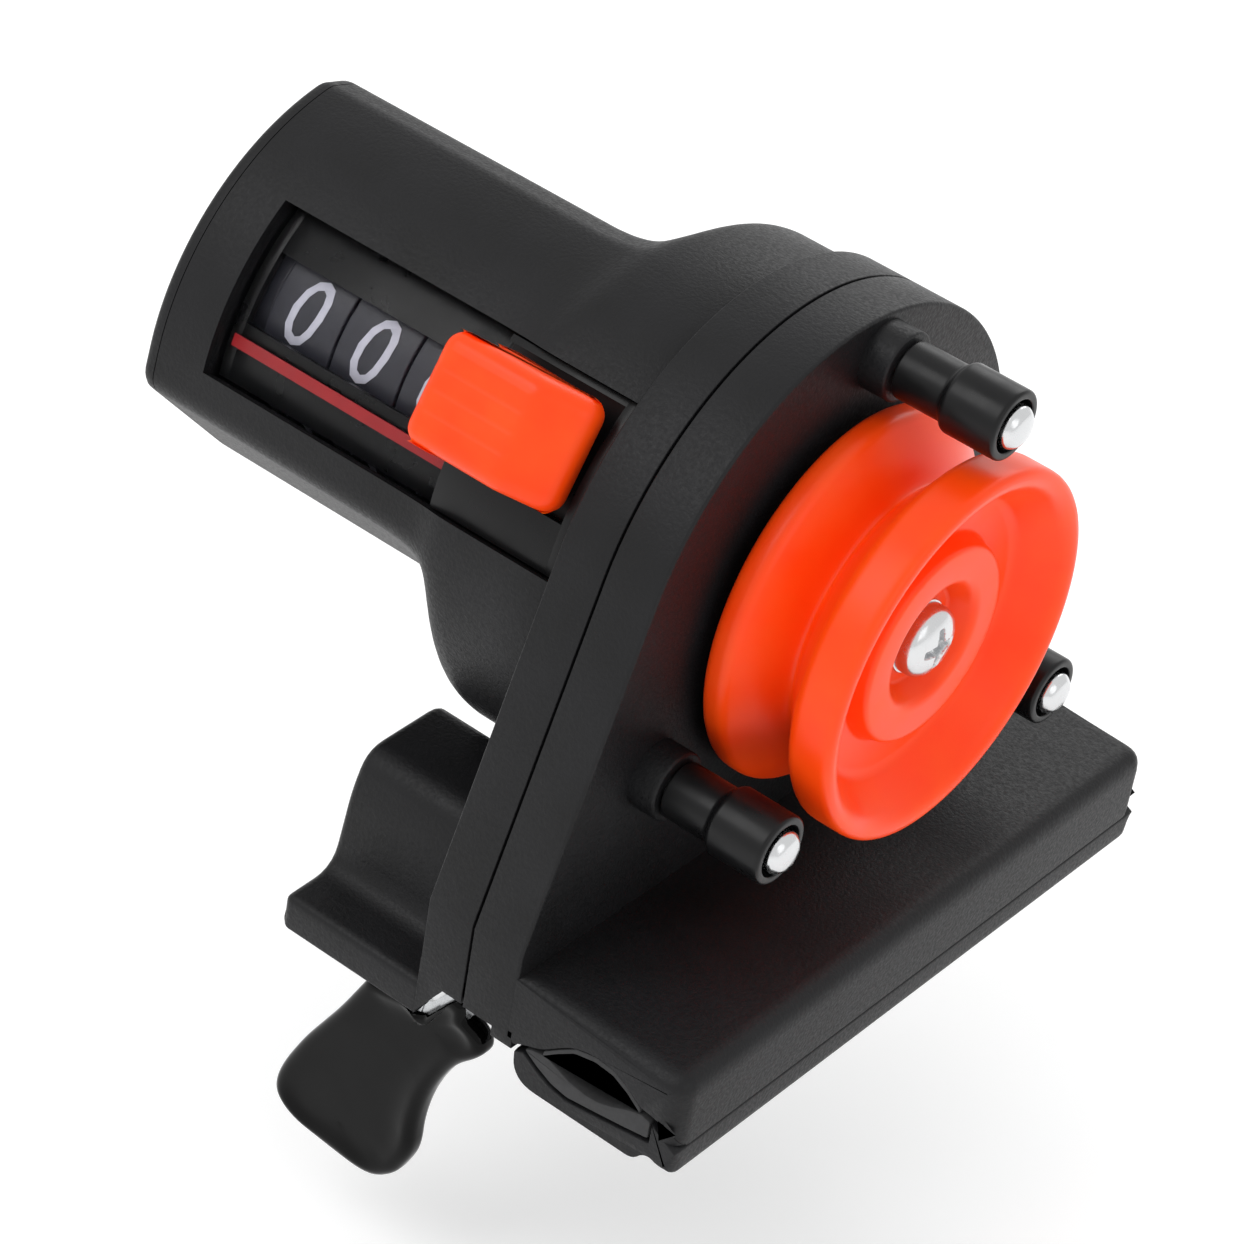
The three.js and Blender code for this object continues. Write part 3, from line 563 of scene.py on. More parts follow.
# %% [markdown]
# ## Guide rollers
#
# Three posts keep the line on the wheel. Each is a black sleeve that turns on a steel pin;
# the pin's domed end stands in a counterbore. The plate has a raised collar at each foot.

# %% Sleeves and pins
ROLLERS = {"top": (3.2, 27.4), "near": (-25.6, -12.9), "far": (25.6, -18.0)}
sleeve_profile = eased(
    [
        (1.8, 3.7), (3.3, 3.7), (3.3, 9.7), (4.05, 10.3), (4.05, 17.1), (3.05, 17.1), (3.05, 15.5),
        (1.8, 15.5)
    ],
    [0.1, 0.2, 0.4, 0.4, 0.55, 0.2, 0.2, 0.1], closed=True,
)
pin_profile = eased(
    [
        (0, -5.0), (1.5, -5.0), (1.5, 15.9), (2.5, 15.9), (2.5, 17.4), (1.9, 18.2), (0.9, 18.45),
        (0, 18.5)
    ], [0, 0.1, 0, 0.1, 0.3, 0.4, 0.5, 0]
)
for place, (y, z) in ROLLERS.items():
    sleeve = mesh_piece("sleeve_" + place, [turned(sleeve_profile, y, z, 64)])
    dressed(sleeve, smooth_black, "sleeve_" + place, "roller_" + place, slot="abs_black")
    pin = mesh_piece("post_pin_" + place, [turned(pin_profile, y, z, 48, closed=False)])
    dressed(pin, nickel, "frame", "roller_pin_" + place, slot="steel")

# %% [markdown]
# ## Wheel plate and base
#
# Front and middle frame share one outline: a round top that runs into slanted sides. The
# front moulding carries the base, a thick bar along the rod with a lens-shaped tunnel
# under it. The seam between the two is a hairline, from the eased edges of both.

# %% [markdown]
# ## Cutting
#
# A pocket or an opening is easiest to take out with a Boolean. It needs one closed body on
# each side, so a piece is cut before other bodies are joined to it.

# %% Cutting
def cut(piece, *blocks):
    """Takes blocks out of a piece with one exact Boolean, and applies it."""
    cutter = mesh_piece(piece.name + "_cutter", list(blocks))
    tool = piece.modifiers.new("cut", "BOOLEAN")
    tool.operation, tool.solver, tool.object = "DIFFERENCE", "EXACT", cutter
    made = bpy.data.meshes.new_from_object(piece.evaluated_get(bpy.context.evaluated_depsgraph_get()))
    piece.modifiers.clear()
    piece.data = made
    bpy.data.objects.remove(cutter)
    made.shade_smooth()
    made.set_sharp_from_angle(angle=math.radians(38))
    return piece


# %% Outline of the plate
PLATE_R, NEAR, FAR, SHOULDER_Z = 32.4, -43.8, 41.5, -28.1
BASE_TOP, BASE_SPLIT, BLOCK_BOTTOM, BASE_X1 = -30.8, -39.7, -44.1, 22.7
SKIN = 0.03  # bars end this far short of the plates they grow out of, so that no two faces coincide


def leaves_circle(y):
    """Angle, in degrees, where the straight side to (y, shoulder) leaves the round top."""
    to_corner = math.atan2(SHOULDER_Z, y)
    opening = math.acos(PLATE_R / math.hypot(y, SHOULDER_Z))
    return math.degrees(to_corner + (opening if y > 0 else -opening))


def plate_outline(bottom):
    """The plate seen along X: bottom corners, far shoulder, round top, near shoulder."""
    top = arc(0, 0, PLATE_R, leaves_circle(FAR), leaves_circle(NEAR) + 360, 120)
    return np.concatenate(
        [[(NEAR, bottom), (FAR, bottom), (FAR, SHOULDER_Z)], top, [(NEAR, SHOULDER_Z)]]
    )


# %% Front frame
arch = eased(
    [
        (0.4, -39.7), (2.0, -38.9), (4.4, -38.0), (6.4, -36.4), (8.4, -35.0), (11.0, -34.4),
        (13.4, -34.6), (15.4, -35.6), (17.4, -37.1), (19.0, -37.7), (20.6, -38.6), (BASE_X1, BASE_SPLIT)
    ],
    [0, 0.8, 1.0, 1.4, 1.6, 1.6, 1.6, 1.4, 1.0, 0.8, 1.0, 0],
)
outer = eased(
    [(BASE_X1, BASE_SPLIT + 0.2), (BASE_X1, BASE_TOP), (-3.0, BASE_TOP), (-3.0, -38.85), (0.3, -38.95)],
    [0, 2.6, 0, 0, 0]
)
base_outline = np.concatenate([arch, outer])
rim_weight = np.concatenate(
    [np.interp(arch[:, 0], [17.4, BASE_X1], [0.1, 1.0]), np.ones(len(outer) - 3), [0, 0, 0]]
)
plate_front = carried(plate_outline(-38.9), section(0.12, 0.4, 6.5), -6.5)
step = carried(
    [(-2.5, -40.3), (0.4, -40.3), (0.4, -38.0), (-2.5, -38.0)],
    section(0.15, 0.15, FAR - NEAR - 2 * SKIN, 2), NEAR + SKIN, "y"
)
base_bar = carried(
    base_outline, section(2.3, 2.3, FAR - NEAR - 2 * SKIN, 7), NEAR + SKIN, "y", rim_weight
)
collars = [
    turned(
        eased([(1.9, -1.0), (4.05, -1.0), (4.05, 3.4), (1.9, 3.4)], [0, 0, 0.35, 0.2], closed=True), y,
        z, 64
    )
    for y, z in ROLLERS.values()
]
front = mesh_piece("front_moulding", [plate_front, step, base_bar, *collars])
dressed(front, abs_black, "frame", "front_frame", slot="abs_black")

# %% [markdown]
# The middle frame is a second plate behind the first. It carries the hinge rail along the
# bottom. The finger block at the near end is a hump over a flat foot, which the thumb
# pushes against when the jaw is opened. It is a piece of its own on the frame, with a pocket underneath
# that the lever swings into.

# %% Middle frame
rail = [(-12.8, BLOCK_BOTTOM), (-12.5, -43.5), (-9.4, -38.8), (-6.8, -38.8), (-6.8, -36), (-12.8, -36)]
block = eased(
    [
        (-20.2, BLOCK_BOTTOM), (-20.2, -24.8), (-32.9, -25.0), (-34.9, -29.8), (-35.6, -34.0),
        (-36.6, -39.4), (NEAR + SKIN, -39.6), (NEAR + SKIN, BLOCK_BOTTOM)
    ],
    [0.4, 2.6, 2.8, 3.0, 3.0, 2.6, 1.1, 0.5], closed=True,
)
middle = mesh_piece(
    "middle_moulding",
    [
        carried(plate_outline(-38), section(0.25, 0.12, 6.0), -12.8),
        carried(rail, section(0.12, 0.12, FAR - NEAR - 2 * SKIN, 2), NEAR + SKIN, "y"),
    ],
)
dressed(middle, abs_black, "frame", "middle_frame", slot="abs_black")
finger_block = mesh_piece("finger_block", [carried(block, section(1.1, 0.3, 19.4), -32.0)])
cut(
    finger_block,
    carried([(-42.5, -47), (-36.4, -47), (-36.4, -40.7), (-42.5, -40.7)], [(0, 0), (0, 20.0)], -31.0)
)
dressed(finger_block, abs_black, "frame", slot="abs_black")

# %% [markdown]
# ## The counter housing
#
# The housing starts round behind the plate, where it holds the gears, and draws in to the
# barrel. The barrel's section is the outline round three circles and an arc: a big circle
# at the back, a small one at each front corner, and the curved reading face. A ray from a centre to the
# outline gives its radius at every angle, so the barrel and the round flare can be blended
# ray by ray along X.

# %% Sections of the barrel and the flare
def hull(points):
    """Outline round a set of points: the lower and the upper chain of the points sorted by
    x, each keeping only left turns."""
    p = sorted(map(tuple, np.round(points, 6)))

    def chain(list_):
        h = []
        for q in list_:
            while (len(h) > 1 and
                   (h[-1][0] - h[-2][0]) * (q[1] - h[-2][1])
                   - (h[-1][1] - h[-2][1]) * (q[0] - h[-2][0]) <= 1e-9):
                h.pop()
            h.append(q)
        return h[:-1]

    return np.array(chain(p) + chain(p[::-1]))


def barrel_outline(shrink):
    """The barrel's section in (n, s): hull of three circles and the arc of the reading face."""
    return hull(
        np.concatenate(
            [
                arc(3, 0.6, 20.7 - shrink, 0, 360, 160), arc(24.1, -11.5, 3.4 - shrink, 0, 360, 80),
                arc(15.1, 18.9, 5 - shrink, 0, 360, 80), arc(0, 0, 30 - shrink, -19, 50, 60)
            ]
        )
    )


CENTRE = np.array([9.0, 1.0])
ANGLES = np.linspace(0, 2 * np.pi, 220, endpoint=False)


def reach(outline):
    """Distance from the centre to the outline along every angle at once: for each ray and
    edge solve centre + t d = p + u e, and keep the largest t with u between 0 and 1."""
    p, e = outline, np.roll(outline, -1, 0) - outline
    d = np.stack([np.cos(ANGLES), np.sin(ANGLES)], axis=1)
    rel = p - CENTRE
    den = d[:, None, 0] * e[None, :, 1] - d[:, None, 1] * e[None, :, 0]
    den = np.where(abs(den) < 1e-12, 1e-12, den)
    t = (rel[None, :, 0] * e[None, :, 1] - rel[None, :, 1] * e[None, :, 0]) / den
    u = (rel[None, :, 0] * d[:, None, 1] - rel[None, :, 1] * d[:, None, 0]) / den
    return np.where((u >= -1e-9) & (u <= 1 + 1e-9) & (t > 0), t, 0).max(axis=1)


def ring_at(x, radius):
    """A closed row of points at x, at the given radius along each angle."""
    y, z = on_face(CENTRE[0] + radius * np.cos(ANGLES), CENTRE[1] + radius * np.sin(ANGLES))
    return np.stack([np.full(len(ANGLES), float(x)), y, z], axis=1)


# %% Housing shell
BARREL_X0, SEAM_REAR, FLARE_R, WALL = -69.4, -12.95, 31.2, 2.0
barrel_out, barrel_in = reach(barrel_outline(0)), reach(barrel_outline(WALL))
flare_out, flare_in = reach(arc(0, 0, FLARE_R, 0, 360, 240)), reach(
    arc(0, 0, FLARE_R - WALL, 0, 360, 240)
)
fillet_x = np.array([-37.0, -34.4, -32.4, -31.0, -30.0, -29.3, -28.4, -27.2, -25.6])
fillet_mix = np.array([0, 0.06, 0.19, 0.36, 0.58, 0.76, 0.9, 0.975, 1])
late = 4.5 * np.clip(np.sin(ANGLES), 0, 1) ** 0.7  # the flare starts this much later on the upper side
kernel = np.array([1, 2, 3, 2, 1]) / 9
smooth_x = np.linspace(-37.0, -25.6, 28)
smooth_mix = np.convolve(
    np.pad(np.interp(smooth_x, fillet_x, fillet_mix), 2, mode="edge"), kernel, mode="valid"
)
smooth_mix = (smooth_mix - smooth_mix[0]) / (smooth_mix[-1] - smooth_mix[0])
fine_x = np.linspace(-37.0, -20.8, 38)
outside = (
    [ring_at(BARREL_X0, barrel_out - 0.1), ring_at(BARREL_X0 + 0.06, barrel_out)]
    + [ring_at(x, barrel_out) for x in np.linspace(-66, -38, 12)]
    + [
        ring_at(x, barrel_out + (flare_out - barrel_out) * np.interp(x - late, smooth_x, smooth_mix))
        for x in fine_x
    ]
    + [
        ring_at(-19, flare_out), ring_at(SEAM_REAR - 0.5, flare_out),
        ring_at(SEAM_REAR - 0.22, flare_out - 0.1), ring_at(SEAM_REAR - 0.15, flare_out - 0.35)
    ]
)
inside = [ring_at(SEAM_REAR - 0.15, flare_in)] + [
    ring_at(
        x,
        barrel_in + (flare_in - barrel_in) * np.interp(
            x - late, [-35.5, -31.0, -28.0, -26.6], [0, 0.2, 0.6, 1]
        )
    ) for x in np.linspace(-21.8, -36.0, 16)
] + [ring_at(BARREL_X0, barrel_in)]
housing = mesh_piece("housing_shell", [grid(outside + inside, wrap_rows=True)], sharp=38)

# %% [markdown]
# The reading panel sits in a straight-walled opening in the housing. A cutter with the
# panel's outline, leaning with the face, takes it out of the shell.

# %% Opening for the reading panel
PANEL = {"x0": -62.7, "x1": SEAM_REAR - 0.15, "s0": -9.5, "s1": 10.6}


def face_block(x0, x1, s0, s1, n0, n1, r=0.0):
    """A block on the leaning face: the (x, n) rectangle carried along s."""
    return carried(
        [(x0, n0), (x1, n0), (x1, n1), (x0, n1)],
        section(r, r, s1 - s0) if r else [(0, 0), (0, s1 - s0)], s0, "s"
    )


cut(
    housing,
    face_block(PANEL["x0"] - 0.25, PANEL["x1"] + 1, PANEL["s0"] - 0.25, PANEL["s1"] + 0.25, 22, 40)
)
dressed(housing, abs_black, "frame", "counter_housing", slot="abs_black")
print("housing faces:", len(housing.data.polygons))

# %% [markdown]
# The barrel is closed by a lid with a rounded edge. Its rows are the barrel's outline drawn
# in step by step, then a spigot that goes inside.

# %% End cap
cap_rows = [
    ring_at(BARREL_X0 - 1.9, barrel_out - 3.0), ring_at(BARREL_X0 - 1.9, barrel_out - 1.5), ring_at(
        BARREL_X0 - 1.8, barrel_out - 0.85
    ),
    ring_at(
        BARREL_X0 - 1.5, barrel_out - 0.35
    ), ring_at(BARREL_X0 - 1.1, barrel_out - 0.08), ring_at(BARREL_X0 - 0.6, barrel_out),
    ring_at(BARREL_X0 - 0.05, barrel_out), ring_at(
        BARREL_X0 - 0.05, barrel_in - 0.3
    ), ring_at(BARREL_X0 + 3.0, barrel_in - 0.3),
]
cap = mesh_piece("cap_moulding", [grid(cap_rows)], sharp=38)
dressed(cap, abs_black, "frame", "end_cap", slot="abs_black")

# %% [markdown]
# ## The reading panel
#
# The panel follows the curved face. Its window is recessed for the clear cover, and the
# button slides in a seat at its wheel end. It is made on the same circle as the face, so
# each part is a rectangle in (x, s) bent onto radius R: n = sqrt(R^2 - s^2).

# %% Bent slabs
def bent_slab(x0, x1, s0, s1, r0, r1, steps=14, edge=0.15):
    """A slab between radii r0 and r1 over a rectangle: a closed (n, s) outline of two arcs,
    carried along X with a small eased rim."""
    s = np.linspace(s0, s1, steps)
    up = np.stack([np.sqrt(r1**2 - s**2), s], axis=1)
    down = np.stack([np.sqrt(r0**2 - s**2), s], axis=1)[::-1]
    y, z = on_face(*np.concatenate([up, down]).T)
    return carried(np.stack([y, z], axis=1), section(edge, edge, x1 - x0, 2), x0)


WINDOW = {"x0": -61.3, "x1": -31.6, "s0": -2.85, "s1": 5.6}
panel_parts = [
    bent_slab(PANEL["x0"], WINDOW["x0"], PANEL["s0"], PANEL["s1"], 26.4, 27.5, edge=0.05),
    bent_slab(
        WINDOW["x0"] - 0.3, WINDOW["x1"] + 0.3, PANEL["s0"] + SKIN, WINDOW["s0"], 26.4, 27.48, edge=0.05
    ),
    bent_slab(
        WINDOW["x0"] - 0.3, WINDOW["x1"] + 0.3, WINDOW["s1"], PANEL["s1"] - SKIN, 26.4, 27.48, edge=0.05
    ),
    bent_slab(WINDOW["x1"], -30.4, PANEL["s0"] + SKIN, PANEL["s1"] - SKIN, 26.4, 27.5, edge=0.05),
    bent_slab(-30.7, -14.4, PANEL["s0"] + SKIN, -3.9, 22.0, 29.93),
    bent_slab(-30.7, -14.4, 9.8, PANEL["s1"] - SKIN, 22.0, 29.93),
    bent_slab(-15.0, PANEL["x1"], PANEL["s0"], PANEL["s1"], 22.0, 29.95),
    face_block(-30.68, -14.6, -4.3, 10.1, 24.6, 26.9),
]
panel = mesh_piece("reading_panel", panel_parts)
dressed(panel, smooth_black, "frame", "bezel_insert", slot="abs_black")
stripe = mesh_piece("index_line", [bent_slab(-61.8, -31.5, -5.7, -4.3, 27.8, 28.1, edge=0.05)])
dressed(stripe, stripe_red, "frame", "index_stripe", slot="stripe_red")
cover = mesh_piece(
    "clear_window",
    [bent_slab(PANEL["x0"] + 0.1, -31.2, PANEL["s0"] + 0.1, PANEL["s1"] - 0.1, 28.4, 29.95)]
)
dressed(cover, clear, "frame", "window_cover", slot="clear_cover")

# %% [markdown]
# ## Figure drums
#
# Each drum shows the figures 0 to 9 round its rim. A figure is made as flat text, turned
# into a mesh, and then bent: its width stays along X, and its height becomes an angle on
# the drum.

# %% Drums
DRUM_N, DRUM_S, DRUM_R, DRUM_PITCH, DRUM_W, FIRST_DRUM_X = 12.6, 1.2, 13.5, 9.4, 9.1, -60.1
DRUM_Y, DRUM_Z = (float(v) for v in on_face(DRUM_N, DRUM_S))


def figure(text, x, turn, height=8.1, slant=0.17):
    """A figure on the drum: flat text (u, v) goes to x + u along the axis and to the angle
    turn - v / R round it, lying between radius R and R + 0.06. The slant leans it to italic."""
    curve = bpy.data.curves.new("figure", "FONT")
    curve.body, curve.size, curve.extrude = text, 1.0, 0.03
    curve.align_x, curve.resolution_u = "CENTER", 3
    made = bpy.data.objects.new("figure", curve)
    bpy.context.scene.collection.objects.link(made)
    bpy.context.view_layer.update()
    flat = bpy.data.meshes.new_from_object(made.evaluated_get(bpy.context.evaluated_depsgraph_get()))
    v = np.empty(len(flat.vertices) * 3)
    flat.vertices.foreach_get("co", v)
    v = v.reshape(-1, 3)
    faces = [list(p.vertices) for p in flat.polygons]
    bpy.data.objects.remove(made)
    tall = v[:, 1].max() - v[:, 1].min()
    w = (v[:, 1] - (v[:, 1].max() + v[:, 1].min()) / 2) / tall * height
    u = v[:, 0] / tall * height * 0.82 + slant * w
    r = DRUM_R + np.where(v[:, 2] > 0, 0.07, -0.05)
    a = turn + w / DRUM_R
    y, z = on_face(DRUM_N + r * np.cos(a), DRUM_S + r * np.sin(a))
    return np.stack([x + u, y, z], axis=1), faces


for k, place in enumerate(("hundreds", "tens", "units")):
    x = FIRST_DRUM_X + k * DRUM_PITCH
    profile = eased(
        [(1.9, x), (DRUM_R, x), (DRUM_R, x + DRUM_W), (1.9, x + DRUM_W)], [0, 0.25, 0.25, 0],
        closed=True
    )
    body = mesh_piece("figure_drum_" + place, [turned(profile, DRUM_Y, DRUM_Z, 120)])
    dressed(body, drum_grey, place, "drum_" + place, slot="drum_grey")
    marks = mesh_piece(
        "figures_" + place, [figure(str(d), x + DRUM_W / 2, math.radians(-36 * d)) for d in range(10)],
        recalc=False
    )
    dressed(marks, figure_white, place, slot="drum_grey")
collar = mesh_piece(
    "drum_collar",
    [
        turned(
            eased(
                [(1.9, -63.4), (12.8, -63.4), (12.8, -60.4), (1.9, -60.4)], [0, 0.25, 0.25, 0],
                closed=True
            ),
            DRUM_Y, DRUM_Z, 96
        )
    ]
)
dressed(collar, drum_grey, "frame", "drum_end_collar", slot="drum_grey")

# %% [markdown]
# ## Reset button
#
# The button is a soft-edged block: a flat top with four shallow finger grooves, and a face
# that slopes down to the wheel. Its (x, n) outline is carried along s with a round rim, and
# the grooves are a cosine in s that lowers only the top.

# %% Button
button_outline = eased(
    [
        (-33.2, 33.2), (-30.3, 33.2), (-30.3, 29.6), (-15.5, 29.6), (-15.2, 32.6), (-20.6, 36.3),
        (-33.2, 36.3)
    ],
    [0.7, 0.2, 0.2, 0.8, 2.0, 1.3, 1.8], closed=True, steps=8,
)
S0, S1, EDGE = -3.5, 9.4, 2.1
edge_rows = section(EDGE, EDGE, S1 - S0, 8)
fine = np.linspace(S0 + EDGE, S1 - EDGE, 60)[1:-1]
rows = []
for by, d in [*edge_rows[:9], *((0.0, s - S0) for s in fine), *edge_rows[9:]]:
    o = inset(button_outline, by) if by else button_outline.copy()
    s = S0 + d
    groove = 0.06 * max(
        0.0, math.cos((s - (S0 + S1) / 2) / 2.35 * 2 * math.pi)
    ) ** 1.5 if S0 + 1.6 < s < S1 - 1.6 else 0.0
    lift = np.clip((o[:, 1] - 35.2) / 0.9, 0, 1) * np.clip((-20.8 - o[:, 0]) / 0.8, 0, 1)
    y, z = on_face(o[:, 1] - groove * lift, s)
    rows.append(np.stack([o[:, 0], y, z], axis=1))
button = mesh_piece(
    "button_cap", [grid(rows), face_block(-28.2, -21.8, -0.9, 6.0, 23.0, 30.5)], sharp=50
)
dressed(button, orange, "button", "reset_button", slot="orange_plastic")

# %% [markdown]
# ## Rod grip
#
# Base and jaw close on the rod with two rubber linings that make a lens-shaped tunnel. The
# jaw is a thin moulding on a steel pin; a stamped steel lever, dipped in vinyl, opens it.

# %% Linings and jaw
LINING_LENGTH, JAW_LENGTH = 84.9, 85.2
roof = np.array(
    [
        (4.4, -38.0), (6.4, -36.4), (8.4, -35.0), (11.0, -34.4), (13.4, -34.6), (15.4, -35.6),
        (17.4, -37.1)
    ]
)
lining = np.concatenate([roof + (0, -0.9), (roof + (0, -0.05))[::-1]])
top_pad = mesh_piece(
    "base_lining",
    [
        carried(
            eased(lining, 0.25, closed=True, steps=3), section(0.2, 0.2, LINING_LENGTH, 2), NEAR + 0.2,
            "y"
        )
    ]
)
dressed(top_pad, rubber, "frame", "base_pad", slot="rubber_grey")
liner_outline = [
    (2.0, -39.4), (3.9, -40.6), (6.0, -41.6), (8.2, -42.0), (12.0, -41.5), (16.0, -40.9),
    (18.9, -40.4), (18.9, -38.2), (17.6, -37.9),
    (16.0, -38.4), (13.8, -39.4), (12.2, -39.95), (10.6, -40.1), (8.2, -39.8), (6.2, -39.0),
    (4.8, -38.5), (2.8, -38.9),
]
low_pad = mesh_piece(
    "jaw_lining",
    [
        carried(
            eased(liner_outline, 0.3, closed=True, steps=3), section(0.2, 0.2, LINING_LENGTH, 2),
            NEAR + 0.2, "y"
        )
    ]
)
dressed(low_pad, rubber, "jaw", "jaw_liner", slot="rubber_grey")
jaw_outline = eased(
    [
        (2.0, -39.7), (3.9, -40.9), (6.0, -41.9), (8.2, -42.3), (12.0, -41.8), (16.0, -41.2),
        (19.1, -40.7), (19.1, -38.0), (20.6, -38.9),
        (BASE_X1, -40.0), (BASE_X1, -43.6), (20.6, -43.4), (19.4, -42.6), (18.7, -42.9),
        (17.6, -44.2), (2.6, -44.2), (0.9, -42.6), (0.7, -40.2),
    ],
    [
        0.2, 0.8, 0.8, 0.8, 0.8, 0.8, 0.2, 0.3, 0.8, 0.2, 1.4, 0.6, 0.5, 0.5, 1.0, 1.6, 1.4, 0.3
    ], closed=True, steps=4,
)
lip = np.where(jaw_outline[:, 1] < -40.3, np.interp(jaw_outline[:, 0], [19.2, 21.5], [0.12, 0.8]), 0.12)
PIN_X, PIN_Z = -11.0, -40.0
ear_outline = np.concatenate(
    [arc(PIN_X, PIN_Z, 2.7, 60, 250, 24), [(0.0, -42.9), (1.4, -42.6), (1.4, -40.2), (0.0, -39.9)]]
)
jaw = mesh_piece(
    "jaw_moulding",
    [
        carried(jaw_outline, section(1.5, 1.5, JAW_LENGTH, 6), NEAR + 0.1, "y", lip),
        carried(ear_outline, section(0.3, 0.3, 5.4, 3), 31.3, "y")
    ],
)
dressed(jaw, abs_black, "jaw", "lower_jaw", slot="abs_black")

# %% [markdown]
# The grip is dipped, so it has no seam and no flat edge. Its outline is drawn in towards a
# line along its middle, ring by ring, which gives a thick rounded bead and a shallow dish.

# %% Lever and grip
grip_outline = eased(
    [
        (-20.9, -45.6), (-24.3, -52.3), (-28.6, -59.5), (-30.9, -64.4), (-31.8, -67.6),
        (-31.2, -69.8), (-28.5, -71.4), (-22.3, -72.1),
        (-18.5, -72.3), (-15.9, -71.7), (-13.6, -69.6), (-11.7, -65.5), (-11.8, -61.4),
        (-11.2, -57.3), (-10.0, -53.6), (-8.0, -49.7),
        (-5.1, -46.9), (-4.2, -45.2), (-5.1, -43.6), (-7.3, -42.7), (-7.7, -41.0), (-8.8, -40.6),
        (-12.5, -45.2), (-14.3, -46.0), (-15.9, -44.9), (-17.2, -44.8),
    ],
    [
        0.8, 2.2, 2.2, 2.2, 2.2, 1.6, 2.0, 2.2, 2.2, 1.3, 1.2, 2.0, 2.2, 2.2, 2.2, 2.2, 2.0, 1.2, 1.2,
        0.6, 0.4, 0.4, 0.8, 0.9, 0.5, 0.4
    ], closed=True, steps=5,
)
spine = np.array([(-12.0, -46.6), (-16.0, -51.5), (-18.5, -57.0), (-20.5, -62.0), (-21.8, -66.3)])


def towards_spine(outline, by):
    """Each point moved by a distance towards the nearest point of the spine, but at most
    four fifths of the way, so that rings never cross."""
    a, e = spine[:-1], np.diff(spine, axis=0)
    t = np.clip(np.sum((outline[:, None] - a) * e, axis=2) / np.sum(e * e, axis=1), 0, 1)
    foot = a + t[..., None] * e
    gap = np.linalg.norm(outline[:, None] - foot, axis=2)
    near = foot[np.arange(len(outline)), gap.argmin(axis=1)]
    far = gap.min(axis=1)[:, None]
    return outline + (near - outline) * np.minimum(by / far, 0.8)


THICK = 3.0
bead = [
    (6.0, 0.42), (4.6, 0.41), (3.6, 0.38), (2.8, 0.3), (2.1, 0.16), (1.6, 0.04), (1.15, 0.0),
    (0.7, 0.1), (0.32, 0.34), (0.08, 0.7), (0.0, 1.1)
]
rows = []
for by, depth in bead + [(i, THICK - d) for i, d in bead[::-1]]:
    o = towards_spine(grip_outline, by)
    rows.append(np.stack([o[:, 0], np.full(len(o), -42.1 + depth), o[:, 1]], axis=1))
grip = mesh_piece("vinyl_grip", [grid(rows)], sharp=60)
dressed(grip, vinyl, "jaw", "lever_grip", slot="vinyl_black")

# %% [markdown]
# ## CAD pieces that stay
#
# Hidden pieces and plain pins keep their CAD shape. A copy is merged and shaded smooth,
# with its true corners kept crisp, and takes its own finish.

# %% Smooth copies of the remaining nodes
KEPT = {
    "jaw_lever": sheet_steel, "hinge_pin": nickel, "hinge_spring": nickel, "button_spring": nickel,
    "drum_shaft": nickel, "carry_shaft": nickel,
    "idler_shaft": nickel, "wheel_axle": nickel, "axle_bush": brass, "axle_pinion": brass,
    "idler_gear": acetal, "drum_gear": acetal,
    "carry_pinion_tens": acetal, "carry_pinion_hundreds": acetal, "housing_screw_1": nickel,
    "housing_screw_2": nickel,
    "housing_screw_3": nickel, "frame_screw_near": nickel, "frame_screw_far": nickel,
}
body_of = {n: b for b, nodes in frame["record"]["behaviour"]["bodies"].items() for n in nodes}
slot_of = {s["node"]: s["material_slot"] for s in frame["record"]["subparts"]}
for name, material in KEPT.items():
    work = bmesh.new()
    work.from_mesh(frame["nodes"][name].data)
    bmesh.ops.remove_doubles(work, verts=work.verts, dist=1e-6)
    mesh = bpy.data.meshes.new(name + "_smooth")
    work.to_mesh(mesh)
    work.free()
    mesh.shade_smooth()
    mesh.set_sharp_from_angle(angle=math.radians(32))
    copy = bpy.data.objects.new(name + "_smooth", mesh)
    bpy.context.scene.collection.objects.link(copy)
    dressed(copy, material, body_of[name], name, slot=slot_of[name])
    if name == "jaw_lever":
        cut(
            copy,
            carried(
                [(-12.7, -34), (-12.7, -41.1), (-17, -43.1), (-17, -34)], [(0, 0), (0, 2.2)], -41.7, "y"
            )
        )
print("smooth copies:", len(KEPT))

# %% [markdown]
# ## Floor, light and camera
#
# The object stands free over a plain pale floor under large soft lights, as in a studio.

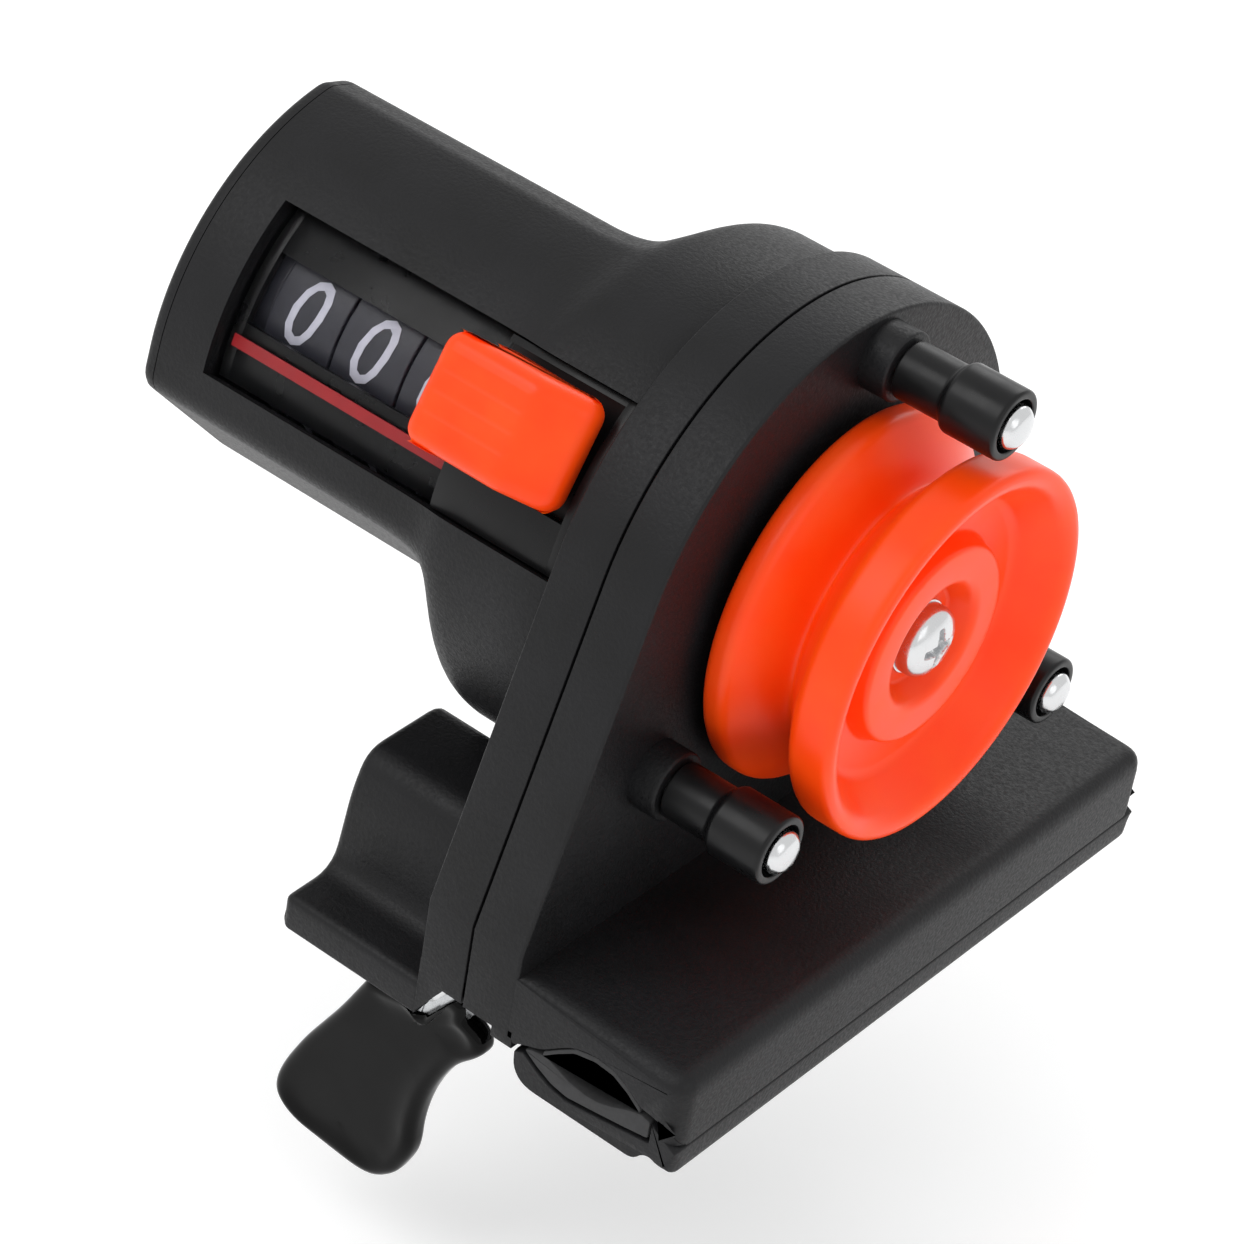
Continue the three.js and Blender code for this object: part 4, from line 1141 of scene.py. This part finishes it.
# %% Floor and world
low = min(c[2] for c in cad_box)
floor_mesh = bpy.data.meshes.new("floor")
floor_mesh.from_pydata(
    [(-4, -4, low - 0.012), (4, -4, low - 0.012), (4, 4, low - 0.012), (-4, 4, low - 0.012)], [],
    [(0, 1, 2, 3)]
)
floor = bpy.data.objects.new("floor", floor_mesh)
bpy.context.scene.collection.objects.link(floor)
paper, tree, shader, where = finish("pale_paper", "#FAFAFA", 0.9, Emission_Strength=0.15)
tree.links.new(
    mixed(
        tree, node(tree, "ShaderNodeTexNoise", Vector=where, Scale=3).outputs["Fac"], "#F8F8F8",
        "#FCFCFC"
    ),
    shader.inputs["Base Color"]
)
shader.inputs["Emission Color"].default_value = (1, 1, 1, 1)
floor_mesh.materials.append(paper)

world = bpy.data.worlds.new("studio")
bpy.context.scene.world = world
world.use_nodes = True
world.node_tree.nodes["Background"].inputs["Color"].default_value = (1, 1, 1, 1)
world.node_tree.nodes["Background"].inputs["Strength"].default_value = 0.9
bpy.context.scene.view_settings.view_transform = "Standard"

# %% [markdown]
# Three large square lights give wide soft highlights: one from the front, one from the
# wheel's side and one from behind.

# %% Soft lights
MIDDLE = np.array([(a + b) / 2 for a, b in zip(*cad_box)])


def soft_box(name, place, size, power):
    """A square area light at a place in metres, turned to face the middle of the object."""
    lamp = bpy.data.lights.new(name, "AREA")
    lamp.energy, lamp.size, lamp.shape = power, size, "SQUARE"
    made = bpy.data.objects.new(name, lamp)
    made.location = place
    made.rotation_euler = Vector(MIDDLE - np.array(place)).to_track_quat("-Z", "Y").to_euler()
    bpy.context.scene.collection.objects.link(made)
    return made


soft_box("key", (-0.35, -0.55, 0.75), 0.5, 2.0)
soft_box("fill", (0.75, -0.25, 0.45), 0.5, 0.5)
soft_box("rim", (-0.2, 0.7, 0.5), 0.5, 1.4)

# %% [markdown]
# The camera looks down at the wheel's side with a long lens. Its three axes are written as
# vectors, and the eye is measured from the axle like everything else.

# %% Camera
RIGHT = Vector((0.766967, 0.626533, 0.13863))
DOWN = Vector((0.460688, -0.38724, -0.798631))
AHEAD = Vector((-0.446685, 0.676389, -0.585637))
lens = bpy.data.cameras.new("camera")
lens.sensor_width, lens.lens, lens.clip_start, lens.clip_end = 36, 133.26, 0.01, 20
camera = bpy.data.objects.new("camera", lens)
eye = placed([204.396, -345.617, 279.775])
camera.matrix_world = Matrix.Translation(eye) @ Matrix((RIGHT, -DOWN, -AHEAD)).transposed().to_4x4()
bpy.context.scene.collection.objects.link(camera)
bpy.context.scene.camera = camera

# %% [markdown]
# ## Closing
#
# The view layer is brought up to date once more.

# %% Last update of the view layer
bpy.context.view_layer.update()
